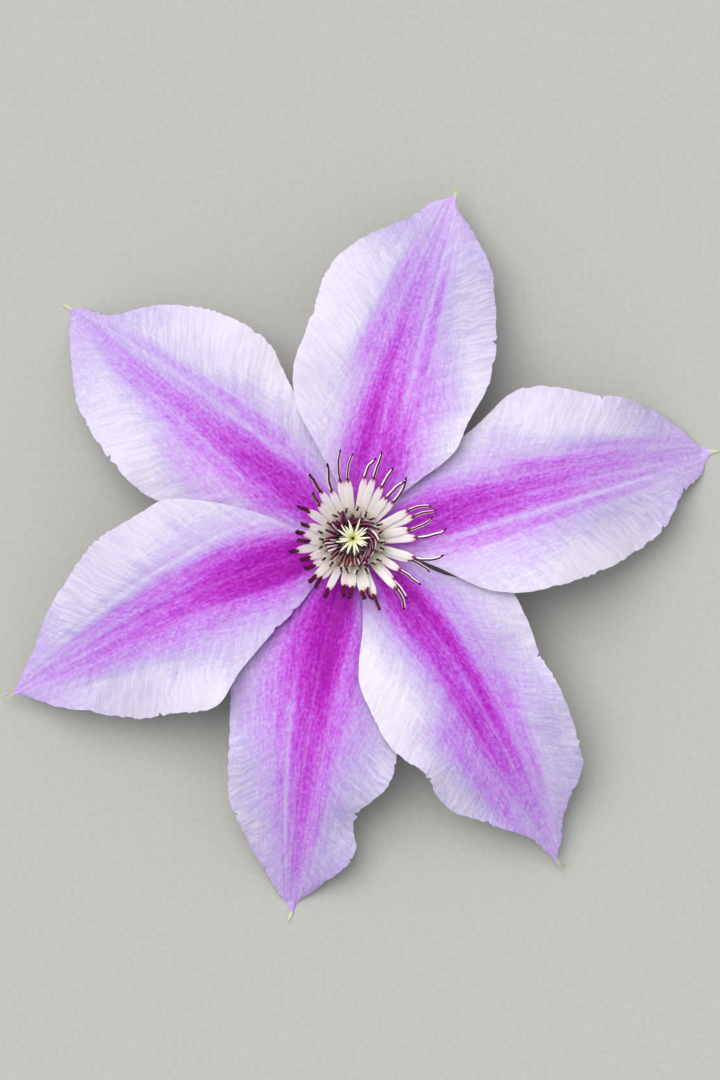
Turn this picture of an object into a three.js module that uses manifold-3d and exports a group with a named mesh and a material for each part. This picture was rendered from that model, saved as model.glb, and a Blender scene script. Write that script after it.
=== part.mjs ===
// A large-flowered clematis bloom, picked with a short stalk and laid face up.
// Six pointed tepals stand round a green receptacle in two whorls of three. Two rings of stamens and a
// head of styles sit on top of it, and the stalk bends away underneath.
// Millimetres, +Z up. The bloom's axis is vertical, and the surface that it lies on is z = 0.

import * as THREE from 'three';
import { mergeVertices } from 'three/addons/utils/BufferGeometryUtils.js';
import Module from 'manifold-3d';

const wasm = await Module();
wasm.setup();

// --- Driving dimensions ------------------------------------------------------------------------------

const AXIS_X = -2;             // where the bloom's axis stands, so that the origin is the middle
const AXIS_Y = 3.1;            // of the footprint
const ATTACH_HEIGHT = 11.4;    // the surface to the level where the outer tepals join
const BLADE = 0.75;            // a tepal's thickness, measured upright
const WHORL_STEP = 1.1;        // the inner tepals stand this much above the outer ones
const CLEARANCE = 0.3;         // between pieces that touch on the plant

const CLAW_RADIUS = 4;         // where a tepal starts
const CREST_RADIUS = 32;       // where a tepal is highest
const ARCH = 3.6;              // how far a tepal rises from its claw to the crest
const LAP_LIFT = 1;            // how far a margin rises or sinks where tepals lap
const CHANNEL = 0.5;           // depth of the groove along the middle vein
const RUFFLE = 0.75;           // half the height of the small waves along the margins
const RUFFLE_COUNT = 4.5;      // waves in a tepal's length
const BUCKLE = 1.3;            // half the height of the one broad wave on each side
const BUCKLE_LENGTH = 0.42;    // length of that wave, as a share of the tepal

const ROWS = 26;               // cells along a tepal
const COLUMNS = 10;            // cells across a tepal

// Half-widths are given at these shares of the way from the bloom's axis to a tepal's tip.
const STATIONS = [0.05, 0.12, 0.2, 0.3, 0.4, 0.5, 0.6, 0.7, 0.8, 0.88, 0.94, 0.975, 1];

// Each tepal's heading is counter-clockwise from +X. left is its counter-clockwise side, seen from above.
// lap is above 0 where that margin lies over the next tepal, and below 0 where it lies under it.
// crest is where the broad wave on that side is highest. droop is how far the tip hangs.
const TEPALS = [
  {
    heading: 73.5, length: 79.4, inner: true, droop: 1.6,
    left: {
      widths: [2.2, 5.5, 11.5, 19.2, 22.4, 22.2, 22, 21.3, 15.6, 8, 4.7, 1.3, 0.4],
      lap: 1, crest: 0.42,
    },
    right: {
      widths: [2.2, 4.8, 9.3, 15, 16.3, 18.1, 17.6, 15.3, 12.1, 7, 1.7, 0.5, 0.4],
      lap: 1, crest: 0.52,
    },
  },
  {
    heading: 14, length: 81.6, inner: false, droop: 6.4,
    left: {
      widths: [2.4, 6.8, 10.6, 14, 18, 22.6, 21.7, 18, 15, 9.3, 3.2, 1.8, 0.4],
      lap: -1, crest: 0.72,
    },
    right: {
      widths: [2.2, 5.2, 9.7, 16.3, 19.3, 19.6, 19.2, 17.3, 13.6, 6.9, 4.2, 1.6, 0.4],
      lap: 2.2, crest: 0.45,
    },
  },
  {
    heading: -57.5, length: 83.8, inner: true, droop: 2.2,
    left: {
      widths: [2.4, 8, 12.6, 21.8, 22.2, 20.6, 20.4, 18.6, 15.6, 7, 3, 0.6, 0.4],
      lap: -1.2, crest: 0.66,
    },
    right: {
      widths: [2, 4, 8, 14.4, 16.3, 16.6, 13.8, 13.8, 7.7, 2.5, 0.9, 0.5, 0.4],
      lap: 1, crest: 0.58,
    },
  },
  {
    heading: -99.4, length: 83.5, inner: false, droop: 5.6,
    left: {
      widths: [2, 4, 7, 11, 14, 16.4, 15.9, 10.3, 11.3, 6.2, 1.8, 0.4, 0.4],
      lap: -1, crest: 0.56,
    },
    right: {
      widths: [2.4, 6.8, 11.2, 16.5, 20.2, 19.6, 18.6, 17.2, 12.2, 6.8, 2.8, 0.6, 0.4],
      lap: -1, crest: 0.66,
    },
  },
  {
    heading: -155.7, length: 82.4, inner: true, droop: 2,
    left: {
      widths: [2, 4.3, 7.8, 11.1, 15.1, 20, 17.9, 15.6, 10.4, 6.1, 1.8, 0.5, 0.4],
      lap: 1, crest: 0.48,
    },
    right: {
      widths: [2.4, 7.5, 14, 20.2, 24.3, 23.6, 22.6, 18.6, 12.9, 6.5, 2.5, 0.7, 0.4],
      lap: 1, crest: 0.62,
    },
  },
  {
    heading: 140.6, length: 81.2, inner: false, droop: 6.6,
    left: {
      widths: [2.2, 5.8, 9, 13.5, 17.8, 20.4, 19.8, 17.9, 14.4, 8.6, 3.8, 0.7, 0.4],
      lap: -1, crest: 0.61,
    },
    right: {
      widths: [2.6, 7.8, 11.6, 13.9, 17.6, 21.2, 20.6, 18, 12, 4.4, 2.2, 0.9, 0.4],
      lap: -1, crest: 0.56,
    },
  },
];

// Heights on the receptacle, counted from the level where the outer tepals join.
const RECEPTACLE_RADIUS = 3.6;
const RECEPTACLE_DEPTH = 3.4;  // the green swelling below the tepals
const NECK_RADIUS = 2.2;       // the core that the stamens and styles stand round
const NECK_TOP = 4.6;
const COLLAR_RADIUS = 4.6;     // two rings round the core, which the stamens grow from
const SPREAD_COLLAR = { low: 2.3, high: 3.5 };
const ERECT_COLLAR = { low: 3.8, high: 4.9 };
const SPREAD_ROOT = { out: 4.1, up: 2.9 };
const LEANING_ROOT = { out: 4.15, up: 4.2 };
const STANDING_ROOT = { out: 3.75, up: 4.2 };
const STAR_FOOT = { out: 0.4, up: 8.4 };
const STAR_LEAN = 0.5;         // how far the styles' tips stand off the axis
const BUNDLE_TOP = 10.6;       // the styles below their tips are one bundle up to here

const STALK_RADIUS = 1.15;
const STALK_HEADING = -160;    // the stalk lies hidden under the lower left tepal
const STALK_REACH = 46;        // from the bloom's axis to its cut end

const SPREAD_COUNT = 34;       // stamens in the outer ring, which lie open
const LEANING_COUNT = 22;      // stamens of the inner ring with pale filaments
const STANDING_COUNT = 36;     // dark anthers that stand round the styles
const STYLE_COUNT = 22;        // styles whose tips make the star in the middle
const OPEN_SIDE = 32;          // the heading on which the outer stamens lie open and are longest
const SWIRL_SIDE = 35;         // the heading on which the standing anthers turn aside most

// Where the random draws of each ring start.
const SPREAD_SEED = 633563;
const LEANING_SEED = 23;
const STANDING_SEED = 37;
const STYLE_SEED = 51;

// --- Small tools -------------------------------------------------------------------------------------

// Even random numbers from 0 to 1 that are the same on every run (a linear congruential generator).
function seeded(seed) {
  let state = seed;
  return () => {
    state = (state * 1664525 + 1013904223) % 4294967296;
    return state / 4294967296;
  };
}

const radians = THREE.MathUtils.degToRad;
const smooth = (x, low, high) => THREE.MathUtils.smoothstep(x, low, high);

// A smooth curve through a side's half-widths: cubic between stations, its slopes from their neighbours.
function halfWidth(widths, share) {
  const last = STATIONS.length - 1;
  let i = 0;
  while (i < last - 1 && share > STATIONS[i + 1]) i += 1;
  const slope = (k) => {
    const a = Math.max(k - 1, 0);
    const b = Math.min(k + 1, last);
    return (widths[b] - widths[a]) / (STATIONS[b] - STATIONS[a]);
  };
  const step = STATIONS[i + 1] - STATIONS[i];
  const t = (share - STATIONS[i]) / step;
  const h = t * t * (3 - 2 * t);
  return widths[i] * (1 - h) + widths[i + 1] * h
    + step * (slope(i) * t * (1 - t) ** 2 - slope(i + 1) * t * t * (1 - t));
}

// A closed solid from rings of points: the rings are joined in order and both ends are capped.
function solidOfRings(rings) {
  const sides = rings[0].length;
  const positions = rings.flat().flatMap((p) => [p.x, p.y, p.z]);
  const index = [];
  for (let r = 0; r < rings.length - 1; r += 1) {
    for (let k = 0; k < sides; k += 1) {
      const a = r * sides + k;
      const b = r * sides + ((k + 1) % sides);
      index.push(a, b, b + sides, a, b + sides, a + sides);
    }
  }
  const end = (rings.length - 1) * sides;
  for (let k = 1; k < sides - 1; k += 1) {
    index.push(0, k + 1, k);
    index.push(end, end + k, end + k + 1);
  }
  return geometryOf(positions, index);
}

function geometryOf(positions, index) {
  const geometry = new THREE.BufferGeometry();
  geometry.setAttribute('position', new THREE.Float32BufferAttribute(positions, 3));
  geometry.setIndex(index);
  return geometry;
}

function manifoldOf(geometry) {
  const bare = new THREE.BufferGeometry();
  const source = geometry.index ? geometry.toNonIndexed() : geometry;
  bare.setAttribute('position', source.getAttribute('position'));
  const merged = mergeVertices(bare, 1e-4);
  return new wasm.Manifold(new wasm.Mesh({
    numProp: 3,
    vertProperties: merged.attributes.position.array,
    triVerts: new Uint32Array(merged.index.array),
  }));
}

function geometryOfManifold(solid) {
  const mesh = solid.getMesh();
  return geometryOf(Array.from(mesh.vertProperties), Array.from(mesh.triVerts));
}

// One body from several that run into each other.
function fused(geometries) {
  const solids = geometries.map(manifoldOf);
  return geometryOfManifold(solids.reduce((whole, next) => whole.add(next)));
}

function lathe(profile, sides) {
  const points = profile.map(([radius, height]) => new THREE.Vector2(radius, height));
  return new THREE.LatheGeometry(points, sides).rotateX(Math.PI / 2);
}

// --- Tepals ------------------------------------------------------------------------------------------

// How high the open bloom stands at a distance from its axis: an arch that is level at the crest.
const arch = (radius) => ARCH * (1 - ((CREST_RADIUS - radius) / (CREST_RADIUS - CLAW_RADIUS)) ** 2);

// The middle of a tepal's thickness, at a share of its length and from -1 to 1 across it.
function tepalPoint(tepal, share, across) {
  const side = across >= 0 ? tepal.left : tepal.right;
  const reach = Math.abs(across);
  const along = share * tepal.length;
  const offset = across * halfWidth(side.widths, share);

  const laps = smooth(share, 0.08, 0.28) * (1 - smooth(share, 0.42, 0.68));
  const lift = LAP_LIFT * side.lap * laps * smooth(reach, 0.25, 1);
  const groove = -CHANNEL * Math.max(0, 1 - reach / 0.4) * smooth(share, 0.05, 0.2);
  const ruffled = smooth(share, 0.45, 0.62) * (1 - smooth(share, 0.86, 1)) * reach ** 3;
  const ruffle = RUFFLE * ruffled * Math.sin(2 * Math.PI * (RUFFLE_COUNT * share + side.crest));
  const buckled = smooth(share, 0.3, 0.55) * (1 - smooth(share, 0.72, 0.92)) * reach ** 1.6;
  const buckle = BUCKLE * buckled * Math.cos((2 * Math.PI * (share - side.crest)) / BUCKLE_LENGTH);
  const droop = tepal.droop * smooth(share, 0.45, 1.1) ** 1.5;

  const whorl = tepal.inner ? WHORL_STEP : 0;
  const height = ATTACH_HEIGHT + BLADE / 2 + whorl + arch(Math.hypot(along, offset))
    + lift + groove + ruffle + buckle - droop;
  // Where a tip reaches the surface it lies flat on it.
  return new THREE.Vector3(along, offset, Math.max(height, BLADE / 2));
}

// A blade: an upper and a lower sheet, split into the same triangles, and the rim that joins them.
function tepalGeometry(tepal) {
  const width = COLUMNS + 1;
  const sheet = (ROWS + 1) * width;
  const positions = [];
  for (const lift of [BLADE / 2, -BLADE / 2]) {
    for (let r = 0; r <= ROWS; r += 1) {
      const share = STATIONS[0] + (1 - STATIONS[0]) * (r / ROWS);
      for (let c = 0; c <= COLUMNS; c += 1) {
        const p = tepalPoint(tepal, share, (2 * c) / COLUMNS - 1);
        positions.push(p.x, p.y, p.z + lift);
      }
    }
  }
  const index = [];
  for (let r = 0; r < ROWS; r += 1) {
    for (let c = 0; c < COLUMNS; c += 1) {
      const a = r * width + c;
      const corners = [a, a + width, a + width + 1, a, a + width + 1, a + 1];
      index.push(...corners);
      index.push(...corners.map((k) => k + sheet).reverse());
    }
  }
  const rim = [];
  for (let c = 0; c < COLUMNS; c += 1) rim.push(c);
  for (let r = 0; r < ROWS; r += 1) rim.push(r * width + COLUMNS);
  for (let c = COLUMNS; c > 0; c -= 1) rim.push(ROWS * width + c);
  for (let r = ROWS; r > 0; r -= 1) rim.push(r * width);
  rim.forEach((a, k) => {
    const b = rim[(k + 1) % rim.length];
    index.push(a, b, b + sheet, a, b + sheet, a + sheet);
  });
  return geometryOf(positions, index);
}

// --- Stamens and styles ------------------------------------------------------------------------------

const levelVector = (angle) => new THREE.Vector3(Math.cos(angle), Math.sin(angle), 0);

// A flat-sided strand along points given as { out, side, up, turn, width, depth }, where out and side are
// measured along and across its heading, and turn is how far it has turned aside. Its section is a diamond
// as wide and deep as each point says.
function strand(heading, points) {
  const outward = levelVector(heading);
  const across = levelVector(heading + Math.PI / 2);
  const centres = points.map((p) => new THREE.Vector3(0, 0, p.up)
    .addScaledVector(outward, p.out).addScaledVector(across, p.side));
  const rings = points.map((p, k) => {
    const ahead = centres[Math.min(k + 1, points.length - 1)];
    const behind = centres[Math.max(k - 1, 0)];
    const along = ahead.clone().sub(behind).normalize();
    const sideways = levelVector(heading + p.turn + Math.PI / 2);
    const depth = along.clone().cross(sideways).normalize();
    const width = depth.clone().cross(along);
    return [
      centres[k].clone().addScaledVector(width, p.width / 2),
      centres[k].clone().addScaledVector(depth, p.depth / 2),
      centres[k].clone().addScaledVector(width, -p.width / 2),
      centres[k].clone().addScaledVector(depth, -p.depth / 2),
    ];
  });
  return solidOfRings(rings);
}

// The points of a strand that grows from a root in one or more stretches. Each stretch has a length, the
// elevation that it bends from and to, the angle that it turns aside by, and its sections' widths and depths.
function grown(root, [rootWidth, rootDepth], stretches) {
  let { out } = root;
  let side = 0;
  let up = ATTACH_HEIGHT + root.up;
  let turned = 0;
  const points = [{ out, side, up, turn: 0, width: rootWidth, depth: rootDepth }];
  for (const { length, from, to, aside, sections } of stretches) {
    const step = length / sections.length;
    const turnedBefore = turned;
    sections.forEach(([width, depth], i) => {
      const share = (i + 0.5) / sections.length;
      const elevation = radians(from + (to - from) * share);
      const turn = turnedBefore + radians(aside * share);
      out += step * Math.cos(elevation) * Math.cos(turn);
      side += step * Math.cos(elevation) * Math.sin(turn);
      up += step * Math.sin(elevation);
      points.push({ out, side, up, turn, width, depth });
    });
    turned += radians(aside);
  }
  return points;
}

const spreadOver = (middle, range, random) => middle + range * (random() - 0.5);

// An open stamen: a broad flat filament that leans outwards, then a thin anther. On the open side of the
// bloom both are longer and lie low, and on the other side the anthers curl up.
function spreadStamen(heading, random, row) {
  const open = smooth(Math.cos(heading - radians(OPEN_SIDE)), -0.45, 0.45);
  const lie = spreadOver(40 - 5 * open + 6 * row, 4, random);
  const end = 30 - 12 * open;
  const filament = {
    length: spreadOver(8.4 + 1.8 * open, 3.4, random), from: lie, to: end, aside: 0,
    sections: [[1.5, 0.5], [1.8, 0.5], [1.7, 0.5], [0.9, 0.5]],
  };
  const anther = {
    length: spreadOver(3.9 + 2 * open, 3.4, random), from: end, to: end + 70 * (1 - open),
    aside: spreadOver(0, 100, random), sections: [[0.6, 0.5], [0.6, 0.5], [0.5, 0.5], [0.4, 0.4]],
  };
  return strand(heading, grown(SPREAD_ROOT, [0.8, 0.5], [filament, anther]));
}

// A stamen of the inner ring: a pale filament that leans out and an anther that curls back in.
function leaningStamen(heading, random) {
  const filament = {
    length: spreadOver(4.4, 1.6, random), from: spreadOver(38, 16, random), to: 62, aside: 0,
    sections: [[1.1, 0.5], [1.1, 0.5], [0.7, 0.5]],
  };
  const anther = {
    length: spreadOver(2.4, 0.8, random), from: 80, to: 165, aside: spreadOver(0, 90, random),
    sections: [[0.5, 0.5], [0.4, 0.4]],
  };
  return strand(heading, grown(LEANING_ROOT, [0.7, 0.5], [filament, anther]));
}

// A dark anther that stands round the styles and bends over outwards. On the swirl side it is longer and
// turns aside clockwise.
function standingAnther(heading, random, row) {
  const swirl = smooth(Math.cos(heading - radians(SWIRL_SIDE)), -0.3, 0.6);
  const foot = { length: 2.9 - 0.7 * row, from: 88, to: 84, aside: -60 * swirl, sections: [[0.7, 0.5]] };
  const blade = {
    length: spreadOver(3 + 2 * swirl, 1.4, random), from: 74, to: spreadOver(8, 30, random),
    aside: spreadOver(-50 * swirl, 50, random),
    sections: [[0.8, 0.5], [0.8, 0.5], [0.75, 0.5], [0.45, 0.4]],
  };
  const root = { out: STANDING_ROOT.out - 0.45 * row, up: STANDING_ROOT.up };
  return strand(heading, grown(root, [0.6, 0.5], [foot, blade]));
}

// A style whose tip leaves the bundle and bends outwards, as one ray of the star.
function starRay(heading, random) {
  const foot = { out: STAR_FOOT.out, up: spreadOver(STAR_FOOT.up, 0.6, random) };
  const ray = {
    length: spreadOver(5.2, 0.9, random), from: 85, to: 0, aside: spreadOver(0, 50, random),
    sections: [[0.6, 0.6], [0.65, 0.5], [0.6, 0.5], [0.3, 0.3]],
  };
  return strand(heading, grown(foot, [0.6, 0.6], [ray])).translate(0, STAR_LEAN, 0);
}

// A ring round the neck that a whorl of stamens grows from.
function collar({ low, high }) {
  const inner = NECK_RADIUS + CLEARANCE;
  const bottom = ATTACH_HEIGHT + low;
  const top = ATTACH_HEIGHT + high;
  const section = [[inner, bottom], [COLLAR_RADIUS, bottom], [COLLAR_RADIUS, top], [inner, top], [inner, bottom]];
  return lathe(section, 24);
}

// count strands round the axis, evenly spread and each a little off its place, in two alternate rows.
function whorl(count, seed, unevenness, make) {
  const random = seeded(seed);
  return Array.from({ length: count }, (_, k) => {
    const place = (k + unevenness * (random() - 0.5)) / count;
    return make(2 * Math.PI * place, random, k % 2);
  });
}

function spreadStamens() {
  return fused([collar(SPREAD_COLLAR), ...whorl(SPREAD_COUNT, SPREAD_SEED, 1, spreadStamen)]);
}

function erectStamens() {
  return fused([
    collar(ERECT_COLLAR),
    ...whorl(LEANING_COUNT, LEANING_SEED, 0.5, leaningStamen),
    ...whorl(STANDING_COUNT, STANDING_SEED, 0.3, standingAnther),
  ]);
}

// The bundle swells over the neck, narrows upwards and ends in a blunt point between the star's rays.
function pistils() {
  const foot = ATTACH_HEIGHT + NECK_TOP + CLEARANCE;
  const top = ATTACH_HEIGHT + BUNDLE_TOP;
  const bundle = lathe([
    [0, foot], [NECK_RADIUS, foot], [NECK_RADIUS + 0.2, foot + 1], [NECK_RADIUS - 0.3, foot + 3],
    [NECK_RADIUS - 0.7, top - 0.8], [0, top],
  ], 16);
  return fused([bundle, ...whorl(STYLE_COUNT, STYLE_SEED, 0.6, starRay)]);
}

// --- Receptacle and stalk ----------------------------------------------------------------------------

// The receptacle swells under the tepals and narrows to the neck. The stem leaves it downwards, then bends
// to run just above the surface.
function stalk() {
  const joint = ATTACH_HEIGHT;
  const base = joint - RECEPTACLE_DEPTH;
  const neckTop = joint + NECK_TOP;
  const head = lathe([
    [0, base], [STALK_RADIUS * 1.3, base], [RECEPTACLE_RADIUS, joint - 0.9], [RECEPTACLE_RADIUS, joint + 1.2],
    [NECK_RADIUS, joint + 1.9], [NECK_RADIUS, neckTop - 0.4], [NECK_RADIUS - 0.4, neckTop], [0, neckTop],
  ], 24);
  const outward = levelVector(radians(STALK_HEADING));
  const lying = STALK_RADIUS + 0.5;
  const route = new THREE.CatmullRomCurve3([
    [0, joint - 1.5], [1.2, joint - 4.6], [7, joint - 7.8], [18, lying + 0.5], [32, lying],
    [STALK_REACH, lying + 0.2],
  ].map(([out, up]) => new THREE.Vector3(0, 0, up).addScaledVector(outward, out)));
  const section = new THREE.Shape().absarc(0, 0, STALK_RADIUS, 0, 2 * Math.PI);
  const stem = new THREE.ExtrudeGeometry(section, { steps: 26, curveSegments: 6, extrudePath: route });
  return fused([head, stem]);
}

// --- The bloom ---------------------------------------------------------------------------------------

const petalFinish = new THREE.MeshStandardMaterial({ color: 0xd8b4ec, roughness: 0.6, metalness: 0 });
const creamFinish = new THREE.MeshStandardMaterial({ color: 0xf0e8d4, roughness: 0.55, metalness: 0 });
const maroonFinish = new THREE.MeshStandardMaterial({ color: 0x4a1030, roughness: 0.5, metalness: 0 });
const styleFinish = new THREE.MeshStandardMaterial({ color: 0xe6ecc0, roughness: 0.55, metalness: 0 });
const stalkFinish = new THREE.MeshStandardMaterial({ color: 0x6f8f3c, roughness: 0.55, metalness: 0 });

function piece(name, geometry, material) {
  const mesh = new THREE.Mesh(geometry, material);
  mesh.name = name;
  return mesh;
}

const bloom = new THREE.Group();
bloom.position.set(AXIS_X, AXIS_Y, 0);
bloom.add(piece('flower_stalk', stalk(), stalkFinish));
TEPALS.forEach((tepal, k) => {
  const mesh = piece(`tepal_${k + 1}`, tepalGeometry(tepal), petalFinish);
  mesh.rotation.z = radians(tepal.heading);
  bloom.add(mesh);
});
bloom.add(piece('stamens_spread', spreadStamens(), creamFinish));
bloom.add(piece('stamens_erect', erectStamens(), maroonFinish));
bloom.add(piece('pistils', pistils(), styleFinish));

export default bloom;
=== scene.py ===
"""The looks of a picked clematis bloom that lies face up on a pale surface.

Formulas work in millimetres, counted from the foot of the bloom's upright axis, and a mesh turns them
into the frame's metres. A tepal is worked out along +X and is then turned to its heading.
"""

import bpy
import numpy as np
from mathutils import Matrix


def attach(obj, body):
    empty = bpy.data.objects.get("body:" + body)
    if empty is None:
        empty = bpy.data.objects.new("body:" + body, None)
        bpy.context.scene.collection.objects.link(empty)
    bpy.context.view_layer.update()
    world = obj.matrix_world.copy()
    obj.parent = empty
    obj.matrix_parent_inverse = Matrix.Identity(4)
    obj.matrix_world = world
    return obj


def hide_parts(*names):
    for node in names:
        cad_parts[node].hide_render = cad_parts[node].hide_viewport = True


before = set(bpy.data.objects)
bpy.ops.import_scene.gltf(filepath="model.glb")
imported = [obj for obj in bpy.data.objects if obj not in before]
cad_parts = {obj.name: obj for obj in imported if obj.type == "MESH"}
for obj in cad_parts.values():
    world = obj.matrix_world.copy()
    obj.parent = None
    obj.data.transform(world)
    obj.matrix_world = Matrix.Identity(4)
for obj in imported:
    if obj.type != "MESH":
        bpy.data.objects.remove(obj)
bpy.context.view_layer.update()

bl_info = {
    "name": "Clematis bloom",
    "version": (1, 0, 0),
    "blender": (4, 5, 0),
    "location": "View3D > Sidebar > Clematis",
    "description": "Makes the tepals, stamens, styles and stalk of a clematis bloom",
    "category": "Add Mesh",
}

BODY = "root"
MM = 0.001

# --- The bloom's plan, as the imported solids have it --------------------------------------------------

# A tepal's underside leaves the receptacle at ATTACH_HEIGHT, the inner whorl WHORL_STEP higher, and arches
# up by ARCH from CLAW_RADIUS to CREST_RADIUS. The margins ruffle and buckle by what is named after that.
# STATIONS are the shares of a tepal's length at which its half-widths are given.
AXIS = np.array([-2.0, 3.1, 0.0])
ATTACH_HEIGHT = 11.4
WHORL_STEP = 1.1
BLADE_START = 3.5
CLAW_RADIUS = 4
CREST_RADIUS = 32
ARCH = 3.6
LAP_LIFT = 1
CHANNEL = 0.5
RUFFLE = 0.75
RUFFLE_COUNT = 4.5
BUCKLE = 1.3
BUCKLE_LENGTH = 0.42
STATIONS = np.array([0.05, 0.12, 0.2, 0.3, 0.4, 0.5, 0.6, 0.7, 0.8, 0.88, 0.94, 0.975, 1])
SIDES = ("left", "right")

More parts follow.
